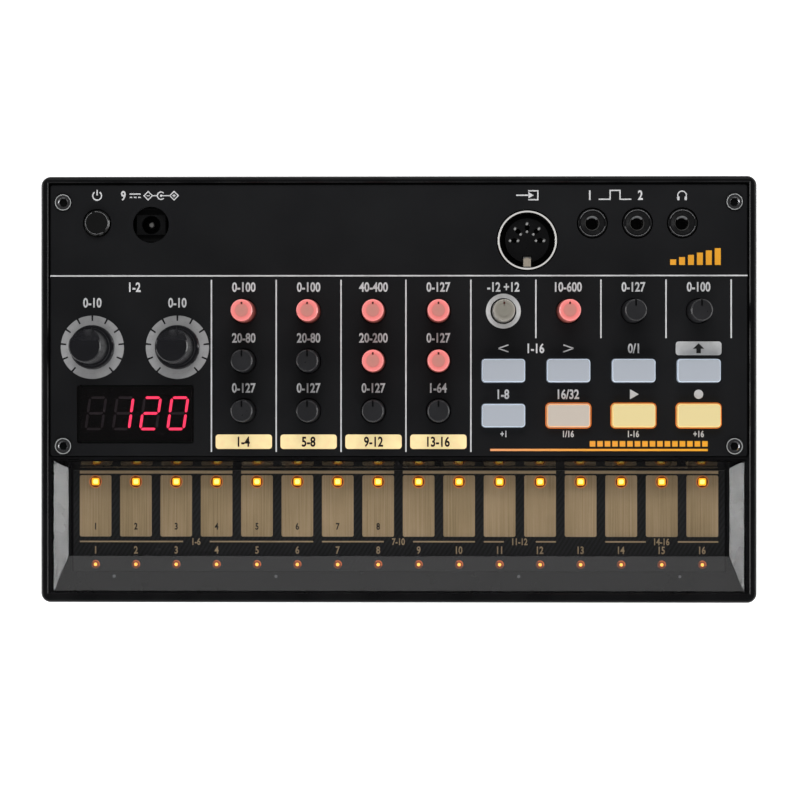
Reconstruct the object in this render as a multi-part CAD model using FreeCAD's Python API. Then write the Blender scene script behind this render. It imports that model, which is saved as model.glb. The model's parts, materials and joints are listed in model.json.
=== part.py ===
import FreeCAD, Part
import math
import os

# A compact desktop drum machine, in millimetres.
# Origin: middle of the footprint, on the surface that it stands on.
# +X runs along the width, +Y towards the back edge with the sockets, +Z up.

# Case
WIDTH = 193.0
DEPTH = 115.0
CORNER_R = 2.6
FOOT_PROUD = 1.5
PARTING_HEIGHT = 19.5
WALL = 2.0
FLOOR = 2.0
BOTTOM_EDGE_R = 2.0
SEAM = 0.3
FIT_GAP = 0.2
PROBE = 1.0
TOUCHING = 1e-3

# Top frame
RIM_PROUD = 0.6
RIM_SIDE = 2.05
RIM_BACK = 1.75
RIM_FRONT = 2.6
SHOULDER_R = 1.2
RIM_CHAMFER = 0.25
LEDGE = 2.4
LEDGE_T = 1.5
BAR_T = 0.6
PANEL_DEPTH = 73.3
TRAY_SIDE_LAP = 0.8

# Top panel
PANEL_T = 1.6
PANEL_GAP = 0.45
PANEL_CORNER_R = 0.8
PANEL_CHAMFER = 0.25

# Touch window, a shallow tray
WINDOW_T = 1.2
TRAY_DEPTH = 4.2
TRAY_LIP = 0.35
TRAY_SIDE_SLOPE = 3.3
TRAY_BACK_SLOPE = 1.95
TRAY_FRONT_SLOPE = 9.05
WINDOW_LEDGE_T = 1.6
WINDOW_REST = 0.6

# Touch board, pads and step lights
STEPS = 16
STEP_MARGIN = 1.75
PAD_SPACE = 2.4
PAD_T = 0.1
PAD_R = 0.5
PAD_BACK_INSET = 1.95
PAD_LIGHT_INSET = 1.75
NAMES_STRIP = 5.225
LIGHT_R = 1.45
LIGHT_RING = 0.1
LIGHT_SINK = 0.25
FRONT_LIGHT_R = 1.1
FRONT_LIGHT_EDGE = 1.825
TOUCH_BOARD_T = 1.6
TOUCH_BOARD_GAP = 0.3

# Main board
BOARD_T = 1.6
BOARD_DROP = 9.6
BOARD_SPACE = 0.9
BOARD_SIDE = 0.5
BOARD_FRONT = 1.0
BOARD_BACK = 5.9

# Knobs and their pots
DISPLAY_TO_KNOBS = 13.65
KNOB_LAST_INSET = 13.6
KNOB_ROW_1_DROP = 34.2
KNOB_ROW_PITCH = 13.45
KNOB_COLUMNS = 8
FULL_COLUMNS = 4
FULL_ROWS = 3
SMALL_KNOB_TOP_R = 2.9
SMALL_KNOB_BASE_R = 3.15
SMALL_KNOB_HEIGHT = 7.6
SMALL_KNOB_EDGE = 0.3
KNOB_HOLE_GAP = 0.3
POINTER_W = 0.5
POINTER_L = 1.8
POINTER_DEPTH = 0.25
DIMPLE_L = 0.7
DIMPLE_INSET = 0.35
DISH_R = 2.0
DISH_DEPTH = 0.12
STUB_R = 1.75
STUB_L = 4.0
TURN_GAP = 0.05
POT_W = 9.5
POT_L = 11.0
POT_H = 5.2
SEAT_GAP = 0.2
LARGE_KNOB_INSET = 11.85
LARGE_KNOB_PITCH = 23.0
LARGE_KNOB_DROP = 43.9
LARGE_KNOB_HEIGHT = 13.7
LARGE_KNOB_TOP_R = 4.3
LARGE_KNOB_WAIST_R = 4.75
LARGE_KNOB_RING_R = 5.3
LARGE_KNOB_FLANGE_R = 5.95
FLANGE_T = 1.1
FLANGE_LIFT = 0.5
RING_T = 1.6
FACET_FROM = 1.5
FACET_REACH = 4.1
FACET_DROP = 9.0
NOTCH = 0.6
LARGE_SHAFT_R = 3.0
LARGE_SHAFT_TOP = 8.5
PUSH_GAP = 0.02
BUSHING_R = 3.7
BUSHING_TOP = 0.2
LARGE_POT_W = 8.6
LARGE_POT_H = 5.6

# Rubber buttons and their switches
BUTTON_W = 11.6
BUTTON_L = 6.2
BUTTON_R = 0.9
BUTTON_PROUD = 1.5
BUTTON_EDGE_R = 0.4
BUTTON_GAP = 0.2
BUTTON_ROW_2_RISE = 10.95
BUTTON_ROW_PITCH = 12.1
BUTTON_FLANGE = 0.7
BUTTON_FLANGE_T = 0.8
BUTTON_STEM_R = 1.5
BUTTON_TRAVEL = 0.8
SWITCH_W = 6.0
SWITCH_H = 3.5
SWITCH_STEM_R = 1.7
SWITCH_STEM_H = 0.8
STOP_GAP = 0.1

# Power button
POWER_INSET = 13.15
POWER_DROP = 10.4
POWER_R = 3.45
POWER_PROUD = 0.9
POWER_GAP = 0.4
POWER_TRAVEL = 1.2
POWER_EDGE = 0.35

# Display
DISPLAY_INSET = 23.45
DISPLAY_RISE = 11.3
DISPLAY_W = 31.4
DISPLAY_L = 15.6
LENS_T = 1.2
LENS_R = 0.6
LENS_GAP = 0.1
MODULE_INSET = 0.5

# Power socket
DC_INSET = 27.65
DC_DROP = 10.8
DC_HOLE_R = 4.9
DC_BODY_W = 7.7
DC_BODY_L = 9.0
DC_SINK = 1.0
DC_BORE_R = 2.5
DC_BORE_DEPTH = 7.0
DC_PIN_R = 0.83
DC_PIN_SINK = 0.9

# Five-pin round socket
DIN_TO_JACK = 17.5
DIN_DROP = 15.1
DIN_SHELL_R = 8.0
DIN_SHELL_T = 0.55
DIN_SHELL_PROUD = 0.2
DIN_HOLE_GAP = 0.3
DIN_CORE_R = 5.95
DIN_CORE_SINK = 1.0
DIN_BASE_T = 2.0
DIN_PIN_CIRCLE_R = 3.5
DIN_SLOT_L = 3.0
DIN_SLOT_W = 0.9
DIN_SLOT_DEPTH = 4.5
DIN_CONTACT_R = 0.36
DIN_CONTACT_H = 2.2
DIN_PINS = 5
DIN_PIN_STEP = 45.0
KEY_W = 2.1
KEY_REACH = 4.4
KEY_SINK = 1.6
KEY_T = 2.0
KEY_GAP = 0.25

# 3.5 mm jacks
JACKS = 3
JACK_PITCH = 12.1
JACK_INSET = 17.95
JACK_DROP = 10.5
JACK_COLLAR_R = 3.85
JACK_COLLAR_EDGE = 0.45
JACK_HOLE_GAP = 0.35
JACK_PROUD = 0.3
JACK_BODY_W = 9.6
JACK_BODY_L = 9.6
JACK_MOUTH_R = 2.35
JACK_FACE_SLOPE = 0.7
JACK_MOUTH_T = 0.9
SLEEVE_BORE_R = 1.8
SLEEVE_T = 0.5
SLEEVE_L = 7.0

# Battery bay, cells, contacts and door
CELLS = 6
CELL_R = 7.1
CELL_L = 50.2
CELL_NUB_R = 2.6
CELL_NUB_L = 1.0
CELL_GAP = 0.3
SPRING_L = 2.6
SPRING_R = 3.4
SPRING_TURNS = 4
PLATE_T = 0.4
PLATE_W = 8.6
PLATE_H = 8.0
BAY_X = 16.0
BAY_Y = 3.0
BAY_WALL = 1.2
BAY_CEILING = 1.2
DOOR_T = 1.8
DOOR_LAP = 1.5
DOOR_GAP = 0.25
HOOK_W = 10.0
HOOK_T = 1.0
HOOK_REACH = 1.0
HOOK_ROOT = 1.2
HOOK_SPREAD = 56.0
HOOK_LIFT = 0.15
HOOK_HEADROOM = 0.45
LATCH_W = 14.0
LATCH_L = 9.0
LATCH_SLIT = 0.8
GRIP_RIBS = 4
GRIP_PITCH = 1.5
GRIP_T = 0.5

# Speaker
SPEAKER_SPACE = 7.65
SPEAKER_Y = 14.0
SPEAKER_R = 20.0
SPEAKER_FRAME_H = 5.0
SPEAKER_FRAME_T = 0.8
SPEAKER_RIM = 2.5
CONE_T = 0.4
MAGNET_R = 11.0
MAGNET_H = 6.0
MAGNET_SEAT_R = 12.5
SLOT_W = 2.0
SLOT_PITCH = 4.0
SLOTS = 8

# Fasteners and feet
PANEL_SCREW_INSET = 6.0
PANEL_SCREW_DROP = 4.8
PANEL_SCREW_RISE = 2.7
PANEL_SCREW_HEAD_R = 2.2
PANEL_SCREW_HEAD_T = 1.3
PANEL_SCREW_R = 1.25
PANEL_SCREW_L = 6.0
PANEL_SCREW_SINK = 1.0
PANEL_BOSS_R = 3.0
HEX_FLATS = 2.0
HEX_DEPTH = 0.9
HEX_CHAMFER = 0.3
SCREW_GAP = 0.05
CASE_SCREW_SIDE = 36.5
CASE_SCREW_INSET = 4.9
CASE_SCREW_R = 1.3
CASE_SCREW_HEAD_R = 2.4
CASE_SCREW_HEAD_T = 1.6
CASE_SCREW_TIP_GAP = 0.7
CASE_SCREW_L = 8.0
CASE_BOSS_R = 2.7
CASE_WELL_R = 2.8
CASE_POST_R = 3.9
BOARD_POST_R = 2.5
BOARD_POST_INSET = 3.5
BOARD_POST_BACK = 4.35
BOARD_POST_FRONT = 3.0
BOARD_POST_MIDDLE = 13.85
BOARD_POST_SPREAD = 26.0
BOARD_POST_SHIFT = -14.0
BOARD_SCREW_R = 0.9
BOARD_SCREW_HEAD_R = 1.9
BOARD_SCREW_HEAD_T = 1.2
BOARD_SCREW_L = 6.0
TOUCH_POST_INSET = 10.5
TOUCH_POST_SPREAD = 24.0
TOUCH_POST_R = 2.5
FOOT_R = 5.0
FOOT_SINK = 0.6
FOOT_EDGE = 0.4
FOOT_SIDE = 12.5
FOOT_END = 13.0

# Lights under the knobs and buttons
CHIP_W = 1.6
CHIP_L = 0.8
CHIP_H = 0.7
CHIP_OFFSET = 4.2

# Shares of a piece's own width
SLOT_ROUND = 0.49
WALL_ROUND = 0.4
DIN_HUB = 0.75
SPRING_TAPER = 0.5
CROSS_REACH = 0.6
CROSS_HALF_W = 0.12
CROSS_DEPTH = 0.3

# Levels worked out from the sizes above
CASE_BOTTOM = FOOT_PROUD
FLOOR_TOP = CASE_BOTTOM + FLOOR
CELL_AXIS = FLOOR_TOP + CELL_R
BAY_TOP = CELL_AXIS + CELL_R + CELL_GAP
BOARD_BOTTOM = BAY_TOP + BAY_CEILING + BOARD_SPACE
BOARD_TOP = BOARD_BOTTOM + BOARD_T
PANEL_TOP = BOARD_TOP + BOARD_DROP
RIM_TOP = PANEL_TOP + RIM_PROUD
PARTING = CASE_BOTTOM + PARTING_HEIGHT
PANEL_SEAT = PANEL_TOP - PANEL_T
LEDGE_BOTTOM = PANEL_SEAT - LEDGE_T
TRAY_FLOOR = PANEL_TOP - TRAY_DEPTH
WINDOW_SEAT = TRAY_FLOOR - WINDOW_T
PAD_TOP = WINDOW_SEAT - PAD_T
TOUCH_BOARD_TOP = PAD_TOP - PAD_T
TOUCH_BOARD_BOTTOM = TOUCH_BOARD_TOP - TOUCH_BOARD_T
WINDOW_LEDGE_BOTTOM = WINDOW_SEAT - WINDOW_LEDGE_T
FRONT_BOSS_TOP = WINDOW_LEDGE_BOTTOM + WINDOW_LEDGE_T / 2
BACK_BOSS_TOP = LEDGE_BOTTOM + LEDGE_T / 2
CASE_SCREW_SEAT = FRONT_BOSS_TOP - PROBE - CASE_SCREW_TIP_GAP - CASE_SCREW_L + CASE_SCREW_HEAD_T

# Edges of the wells in the frame
HALF_W = WIDTH / 2
HALF_D = DEPTH / 2
WELL_X = HALF_W - RIM_SIDE
WELL_BACK = HALF_D - RIM_BACK
PANEL_X = WELL_X - PANEL_GAP
PANEL_BACK = WELL_BACK - PANEL_GAP
PANEL_FRONT = PANEL_BACK - PANEL_DEPTH
BAR_BACK = PANEL_FRONT - PANEL_GAP / 2
BAR_FRONT = BAR_BACK - BAR_T
TRAY_WELL_X = WELL_X - TRAY_SIDE_LAP
TRAY_X = TRAY_WELL_X - DOOR_GAP
TRAY_BACK = BAR_FRONT - DOOR_GAP
TRAY_WELL_FRONT = RIM_FRONT - HALF_D
TRAY_FRONT = TRAY_WELL_FRONT + DOOR_GAP

# Edges of the flat floor of the tray
FLOOR_X = TRAY_X - TRAY_LIP - TRAY_SIDE_SLOPE
FLOOR_BACK = TRAY_BACK - TRAY_LIP - TRAY_BACK_SLOPE
FLOOR_FRONT = TRAY_FRONT + TRAY_LIP + TRAY_FRONT_SLOPE

# Pads and lights under the tray
STEP_PITCH = 2 * (FLOOR_X - STEP_MARGIN) / STEPS
PAD_W = STEP_PITCH - PAD_SPACE
PAD_BACK = FLOOR_BACK - PAD_BACK_INSET
PAD_FRONT = FLOOR_FRONT + NAMES_STRIP
PAD_LIGHT_Y = PAD_BACK - PAD_LIGHT_INSET
TOUCH_BOARD_X = FLOOR_X - 2 * WINDOW_REST
TOUCH_BOARD_BACK = FLOOR_BACK - WINDOW_REST
TOUCH_BOARD_FRONT = CASE_SCREW_INSET + CASE_BOSS_R + TOUCH_BOARD_GAP - HALF_D
FRONT_LIGHT_Y = TOUCH_BOARD_FRONT + FRONT_LIGHT_EDGE

# Places on the panel, measured from its well's sides and from its own back and front edges
DISPLAY_X = DISPLAY_INSET - WELL_X
DISPLAY_Y = PANEL_FRONT + DISPLAY_RISE
KNOB_COLUMN_1 = DISPLAY_X + DISPLAY_W / 2 + DISPLAY_TO_KNOBS
KNOB_PITCH = (WELL_X - KNOB_LAST_INSET - KNOB_COLUMN_1) / (KNOB_COLUMNS - 1)
KNOB_ROW_1 = PANEL_BACK - KNOB_ROW_1_DROP
LARGE_KNOB_X = (LARGE_KNOB_INSET - WELL_X, LARGE_KNOB_INSET + LARGE_KNOB_PITCH - WELL_X)
LARGE_KNOB_Y = PANEL_BACK - LARGE_KNOB_DROP
BUTTON_ROW_1 = PANEL_FRONT + BUTTON_ROW_2_RISE + BUTTON_ROW_PITCH
POWER_X = POWER_INSET - WELL_X
POWER_Y = PANEL_BACK - POWER_DROP
DC_X = DC_INSET - WELL_X
DC_Y = PANEL_BACK - DC_DROP
JACK_1_X = WELL_X - JACK_INSET - JACK_PITCH * (JACKS - 1)
JACK_Y = PANEL_BACK - JACK_DROP
DIN_X = JACK_1_X - DIN_TO_JACK
DIN_Y = PANEL_BACK - DIN_DROP
PANEL_SCREW_X = HALF_W - PANEL_SCREW_INSET
PANEL_SCREW_Y = (PANEL_BACK - PANEL_SCREW_DROP, PANEL_FRONT + PANEL_SCREW_RISE)

# Edges of the main board
BOARD_X = PANEL_SCREW_X - PANEL_BOSS_R - BOARD_SIDE
BOARD_BACK_EDGE = WELL_BACK - BOARD_BACK
BOARD_FRONT_EDGE = BAR_BACK + BAR_T + BOARD_FRONT


def vec(x, y, z):
    return FreeCAD.Vector(x, y, z)


def block(x0, x1, y0, y1, z0, z1):
    return Part.makeBox(x1 - x0, y1 - y0, z1 - z0, vec(x0, y0, z0))


def centred(x, y, width, length, z0, z1):
    return block(x - width / 2, x + width / 2, y - length / 2, y + length / 2, z0, z1)


def upright_edges(shape):
    edges = []
    for edge in shape.Edges:
        box = edge.BoundBox
        if box.ZLength > TOUCHING and box.XLength < TOUCHING and box.YLength < TOUCHING:
            edges.append(edge)
    return edges


def edges_at(shape, z):
    edges = []
    for edge in shape.Edges:
        box = edge.BoundBox
        if abs(box.ZMin - z) < TOUCHING and abs(box.ZMax - z) < TOUCHING:
            edges.append(edge)
    return edges


def round_block(x0, x1, y0, y1, z0, z1, radius):
    plain = block(x0, x1, y0, y1, z0, z1)
    return plain.makeFillet(radius, upright_edges(plain))


def round_centred(x, y, width, length, z0, z1, radius):
    return round_block(x - width / 2, x + width / 2, y - length / 2, y + length / 2, z0, z1, radius)


def rod(x, y, radius, z0, z1):
    return Part.makeCylinder(radius, z1 - z0, vec(x, y, z0))


def taper(x, y, r0, r1, z0, z1):
    return Part.makeCone(r0, r1, z1 - z0, vec(x, y, z0))


def tube(x, y, outer, inner, z0, z1):
    return rod(x, y, outer, z0, z1).cut(rod(x, y, inner, z0, z1))


def turned(x, y, profile):
    points = [vec(r, 0, z) for r, z in profile]
    points.append(points[0])
    face = Part.Face(Part.makePolygon(points))
    solid = face.revolve(vec(0, 0, 0), vec(0, 0, 1), 360)
    solid.translate(vec(x, y, 0))
    return solid


def rectangle(x0, x1, y0, y1, z):
    corners = [vec(x0, y0, z), vec(x1, y0, z), vec(x1, y1, z), vec(x0, y1, z), vec(x0, y0, z)]
    return Part.makePolygon(corners)


def frustum(low, z0, high, z1):
    return Part.makeLoft([rectangle(*low, z0), rectangle(*high, z1)], True, True)


def joined(shapes):
    return shapes[0].multiFuse(shapes[1:]).removeSplitter()


def drilled(shape, tools):
    return shape.cut(Part.makeCompound(tools))


def save(name, shapes):
    shape = shapes[0] if len(shapes) == 1 else Part.makeCompound(shapes)
    solids = len(shape.Solids)
    print(name, "solids", solids, "valid", shape.isValid())
    shape.exportStep("parts/" + name + ".step")


# Places that several pieces share

def small_knob_places():
    places = []
    for column in range(KNOB_COLUMNS):
        rows = FULL_ROWS if column < FULL_COLUMNS else 1
        for row in range(rows):
            x = KNOB_COLUMN_1 + column * KNOB_PITCH
            y = KNOB_ROW_1 - row * KNOB_ROW_PITCH
            places.append((column + 1, row + 1, x, y))
    return places


def button_places():
    places = []
    for row in range(2):
        for column in range(FULL_COLUMNS):
            x = KNOB_COLUMN_1 + (FULL_COLUMNS + column) * KNOB_PITCH
            y = BUTTON_ROW_1 - row * BUTTON_ROW_PITCH
            places.append((row + 1, column + 1, x, y))
    return places


def step_places():
    first = -STEP_PITCH * (STEPS - 1) / 2
    return [first + STEP_PITCH * i for i in range(STEPS)]


def panel_screw_places():
    return [(side * PANEL_SCREW_X, y) for side in (-1, 1) for y in PANEL_SCREW_Y]


def jack_places():
    return [JACK_1_X + JACK_PITCH * i for i in range(JACKS)]


def case_screw_places():
    reach = HALF_D - CASE_SCREW_INSET
    side_x = HALF_W - CASE_SCREW_SIDE
    return [(x, side * reach) for side in (-1, 1) for x in (-side_x, 0.0, side_x)]


def board_post_places():
    side_x = BOARD_X - BOARD_POST_INSET
    back = BOARD_BACK_EDGE - BOARD_POST_BACK
    front = BOARD_FRONT_EDGE + BOARD_POST_FRONT
    middle = BOARD_BACK_EDGE - BOARD_POST_MIDDLE
    by_display = (DISPLAY_X + DISPLAY_W / 2 + KNOB_COLUMN_1 - POT_W / 2) / 2
    places = [(by_display, front), (side_x, front), (-side_x, middle), (side_x, middle)]
    return places + [(BOARD_POST_SHIFT + side * BOARD_POST_SPREAD, back) for side in (-1, 1)]


def touch_post_places():
    side_x = TOUCH_BOARD_X - TOUCH_POST_INSET
    y = (TOUCH_BOARD_BACK + TOUCH_BOARD_FRONT) / 2
    return [(x, y) for x in (-side_x, -TOUCH_POST_SPREAD, TOUCH_POST_SPREAD, side_x)]


def foot_places():
    x = HALF_W - FOOT_SIDE
    y = HALF_D - FOOT_END
    return [(sx * x, sy * y) for sx in (-1, 1) for sy in (-1, 1)]


LIT_KNOBS = ((1, 1), (2, 1), (3, 1), (3, 2), (4, 1), (4, 2), (6, 1))
CLEAR_KNOB = (5, 1)

# Battery bay edges
CELL_PITCH = 2 * CELL_R + CELL_GAP
BAY_W = CELLS * CELL_PITCH + CELL_GAP
BAY_L = CELL_L + SPRING_L + 2 * PLATE_T
DOOR_INNER = CASE_BOTTOM + DOOR_T
HATCH_W = BAY_W + 2 * DOOR_LAP
HATCH_L = BAY_L + 2 * DOOR_LAP
DOOR_W = HATCH_W - 2 * DOOR_GAP
DOOR_L = HATCH_L - 2 * DOOR_GAP
DOOR_HINGE_Y = BAY_Y - DOOR_L / 2
SPEAKER_X = BAY_X - HATCH_W / 2 - BAY_WALL - SPEAKER_SPACE - WALL - SPEAKER_R


# Lower case

def hook_places():
    return (BAY_X - HOOK_SPREAD / 2, BAY_X + HOOK_SPREAD / 2)


def lower_case():
    outer = round_block(-HALF_W, HALF_W, -HALF_D, HALF_D, CASE_BOTTOM, PARTING, CORNER_R)
    outer = outer.makeFillet(BOTTOM_EDGE_R, edges_at(outer, CASE_BOTTOM))
    outer = outer.makeChamfer(SEAM, edges_at(outer, PARTING))
    inside = block(WALL - HALF_W, HALF_W - WALL, WALL - HALF_D, HALF_D - WALL, FLOOR_TOP, PARTING + PROBE)
    shell = outer.cut(inside)
    solids = [shell]
    solids.append(centred(BAY_X, BAY_Y, HATCH_W + 2 * BAY_WALL, HATCH_L + 2 * BAY_WALL,
                          FLOOR_TOP - FLOOR / 2, BAY_TOP + BAY_CEILING))
    for x, y in case_screw_places():
        solids.append(rod(x, y, CASE_POST_R, FLOOR_TOP - FLOOR / 2, (CASE_SCREW_SEAT + PARTING) / 2))
        solids.append(rod(x, y, CASE_BOSS_R, FLOOR_TOP, PARTING))
    for x, y in board_post_places():
        solids.append(rod(x, y, BOARD_POST_R, FLOOR_TOP - FLOOR / 2, BOARD_BOTTOM))
    for x, y in touch_post_places():
        solids.append(rod(x, y, TOUCH_POST_R, FLOOR_TOP - FLOOR / 2, TOUCH_BOARD_BOTTOM))
    solids.append(tube(SPEAKER_X, SPEAKER_Y, SPEAKER_R + WALL, SPEAKER_R + FIT_GAP,
                       FLOOR_TOP - FLOOR / 2, FLOOR_TOP + SPEAKER_RIM))
    cuts = [centred(BAY_X, BAY_Y, BAY_W, BAY_L, FLOOR_TOP - PROBE, BAY_TOP)]
    cuts.append(centred(BAY_X, BAY_Y, HATCH_W, HATCH_L, CASE_BOTTOM - PROBE, FLOOR_TOP))
    for x in hook_places():
        pocket_front = DOOR_HINGE_Y - HOOK_REACH - HOOK_HEADROOM
        pocket_top = DOOR_INNER + HOOK_T + DOOR_GAP + HOOK_LIFT + HOOK_HEADROOM
        pocket_w = HOOK_W + 4 * DOOR_GAP
        cuts.append(block(x - pocket_w / 2, x + pocket_w / 2, pocket_front,
                          BAY_Y - BAY_L / 2 + PROBE, FLOOR_TOP, pocket_top))
    cuts += speaker_slots()
    for x, y in case_screw_places():
        cuts.append(rod(x, y, CASE_WELL_R, CASE_BOTTOM - PROBE, CASE_SCREW_SEAT))
        cuts.append(rod(x, y, CASE_SCREW_R + SCREW_GAP, CASE_BOTTOM, PARTING + PROBE))
    for x, y in board_post_places():
        cuts.append(rod(x, y, BOARD_SCREW_R + SCREW_GAP, BOARD_TOP - BOARD_SCREW_L - PROBE, PARTING + PROBE))
    for x, y in foot_places():
        cuts.append(rod(x, y, FOOT_R + FIT_GAP, CASE_BOTTOM - PROBE, CASE_BOTTOM + FOOT_SINK))
    return drilled(joined(solids), cuts)


def speaker_slots():
    cuts = []
    reach = SPEAKER_R - SPEAKER_RIM
    for i in range(SLOTS):
        offset = (i - (SLOTS - 1) / 2) * SLOT_PITCH
        half = math.sqrt(reach ** 2 - offset ** 2)
        slot = round_centred(SPEAKER_X, SPEAKER_Y + offset, 2 * half, SLOT_W,
                             CASE_BOTTOM - PROBE, FLOOR_TOP + PROBE, SLOT_W * SLOT_ROUND)
        cuts.append(slot)
    return cuts


# Top frame

def top_frame():
    outer = round_block(-HALF_W, HALF_W, -HALF_D, HALF_D, PARTING, RIM_TOP, CORNER_R)
    outer = outer.makeFillet(SHOULDER_R, edges_at(outer, RIM_TOP))
    outer = outer.makeChamfer(SEAM, edges_at(outer, PARTING))
    panel_well = round_block(-WELL_X, WELL_X, BAR_BACK, WELL_BACK, PANEL_SEAT, PANEL_TOP, PANEL_CORNER_R)
    under_panel = block(LEDGE - WELL_X, WELL_X - LEDGE, BAR_BACK + LEDGE, WELL_BACK - LEDGE,
                        LEDGE_BOTTOM, PANEL_SEAT)
    below_panel = block(-WELL_X, WELL_X, BAR_BACK + BAR_T, WELL_BACK, PARTING, LEDGE_BOTTOM)
    tray_well = block(-TRAY_WELL_X, TRAY_WELL_X, TRAY_WELL_FRONT, BAR_FRONT, WINDOW_SEAT, PANEL_TOP)
    seat_x = FLOOR_X - WINDOW_REST
    seat_back = FLOOR_BACK - WINDOW_REST / 2
    seat_front = TOUCH_BOARD_FRONT - TOUCH_BOARD_GAP
    under_tray = block(-seat_x, seat_x, seat_front, seat_back, WINDOW_LEDGE_BOTTOM, WINDOW_SEAT)
    below_tray = block(-TRAY_WELL_X, TRAY_WELL_X, TRAY_WELL_FRONT, BAR_FRONT, PARTING, WINDOW_LEDGE_BOTTOM)
    mouth = block(-WELL_X, WELL_X, TRAY_WELL_FRONT, WELL_BACK, PANEL_TOP, RIM_TOP)
    frame = drilled(outer, [panel_well, under_panel, below_panel, tray_well, under_tray, below_tray, mouth])
    inner_edges = [e for e in edges_at(frame, RIM_TOP) if is_inner_rim(e)]
    frame = frame.makeChamfer(RIM_CHAMFER, inner_edges)
    bosses = []
    holes = []
    for x, y in panel_screw_places():
        bosses.append(rod(x, y, PANEL_BOSS_R, PARTING + PROBE, PANEL_SEAT))
        holes.append(rod(x, y, PANEL_SCREW_R + SCREW_GAP, PARTING, PANEL_TOP))
    for x, y in case_screw_places():
        top = BACK_BOSS_TOP if y > 0 else FRONT_BOSS_TOP
        bosses.append(rod(x, y, CASE_BOSS_R, PARTING, top))
        holes.append(rod(x, y, CASE_SCREW_R + SCREW_GAP, PARTING - PROBE, top - PROBE))
    return drilled(joined([frame] + bosses), holes)


def is_inner_rim(edge):
    box = edge.BoundBox
    inside_x = max(abs(box.XMin), abs(box.XMax)) < WELL_X + TOUCHING
    inside_y = box.YMax < WELL_BACK + TOUCHING and box.YMin > TRAY_WELL_FRONT - TOUCHING
    return inside_x and inside_y


# Top panel

def top_panel():
    plate = round_block(-PANEL_X, PANEL_X, PANEL_FRONT, PANEL_BACK, PANEL_SEAT, PANEL_TOP, PANEL_CORNER_R)
    plate = plate.makeChamfer(PANEL_CHAMFER, edges_at(plate, PANEL_TOP))
    low = PANEL_SEAT - PROBE
    high = PANEL_TOP + PROBE
    cuts = []
    for column, row, x, y in small_knob_places():
        cuts.append(rod(x, y, SMALL_KNOB_BASE_R + KNOB_HOLE_GAP, low, high))
    for x in LARGE_KNOB_X:
        cuts.append(rod(x, LARGE_KNOB_Y, BUSHING_R + FIT_GAP, low, high))
    for row, column, x, y in button_places():
        cuts.append(round_centred(x, y, BUTTON_W + 2 * BUTTON_GAP, BUTTON_L + 2 * BUTTON_GAP,
                                  low, high, BUTTON_R + BUTTON_GAP))
    cuts.append(rod(POWER_X, POWER_Y, POWER_R + POWER_GAP, low, high))
    cuts.append(rod(DC_X, DC_Y, DC_HOLE_R, low, high))
    cuts.append(rod(DIN_X, DIN_Y, DIN_SHELL_R + DIN_HOLE_GAP, low, high))
    for x in jack_places():
        cuts.append(rod(x, JACK_Y, JACK_COLLAR_R + JACK_HOLE_GAP, low, high))
    cuts.append(round_centred(DISPLAY_X, DISPLAY_Y, DISPLAY_W + 2 * LENS_GAP, DISPLAY_L + 2 * LENS_GAP,
                              low, high, LENS_R + LENS_GAP))
    for x, y in panel_screw_places():
        cuts.append(rod(x, y, PANEL_SCREW_HEAD_R + FIT_GAP, PANEL_TOP - PANEL_SCREW_SINK, high))
        cuts.append(rod(x, y, PANEL_SCREW_R + FIT_GAP, low, high))
    return drilled(plate, cuts)


# Touch window and what lies under it

def touch_window():
    flange_bottom = PANEL_TOP - WINDOW_T
    flange = block(-TRAY_X, TRAY_X, TRAY_FRONT, TRAY_BACK, flange_bottom, PANEL_TOP)
    wall = WINDOW_T / 3
    low = (-FLOOR_X - wall, FLOOR_X + wall, FLOOR_FRONT - wall, FLOOR_BACK + wall)
    high = (-TRAY_X, TRAY_X, TRAY_FRONT, TRAY_BACK)
    outside = frustum(low, WINDOW_SEAT, high, flange_bottom)
    grow = PROBE / TRAY_DEPTH
    side = TRAY_SIDE_SLOPE * (1 + grow)
    back = TRAY_BACK_SLOPE * (1 + grow)
    front = TRAY_FRONT_SLOPE * (1 + grow)
    floor = (-FLOOR_X, FLOOR_X, FLOOR_FRONT, FLOOR_BACK)
    mouth = (-FLOOR_X - side, FLOOR_X + side, FLOOR_FRONT - front, FLOOR_BACK + back)
    hollow = frustum(floor, TRAY_FLOOR, mouth, PANEL_TOP + PROBE)
    return joined([outside, flange]).cut(hollow)


def touch_board():
    board = block(-TOUCH_BOARD_X, TOUCH_BOARD_X, TOUCH_BOARD_FRONT, TOUCH_BOARD_BACK,
                  TOUCH_BOARD_BOTTOM, TOUCH_BOARD_TOP)
    cuts = []
    for x in step_places():
        cuts.append(rod(x, PAD_LIGHT_Y, LIGHT_R + LIGHT_RING, TOUCH_BOARD_BOTTOM - PROBE, PAD_TOP))
        cuts.append(rod(x, FRONT_LIGHT_Y, FRONT_LIGHT_R + LIGHT_RING, TOUCH_BOARD_BOTTOM - PROBE, PAD_TOP))
    return drilled(board, cuts)


def touch_pads():
    pads = []
    for x in step_places():
        pad = round_block(x - PAD_W / 2, x + PAD_W / 2, PAD_FRONT, PAD_BACK,
                          TOUCH_BOARD_TOP, PAD_TOP, PAD_R)
        pads.append(pad.cut(rod(x, PAD_LIGHT_Y, LIGHT_R + LIGHT_RING, TOUCH_BOARD_BOTTOM, PAD_TOP + PROBE)))
    return pads


def step_lights():
    lights = []
    for x in step_places():
        lights.append(rod(x, PAD_LIGHT_Y, LIGHT_R, TOUCH_BOARD_BOTTOM, PAD_TOP - LIGHT_SINK))
        lights.append(rod(x, FRONT_LIGHT_Y, FRONT_LIGHT_R, TOUCH_BOARD_BOTTOM, PAD_TOP))
    return lights


# Main board and what stands on it

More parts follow.
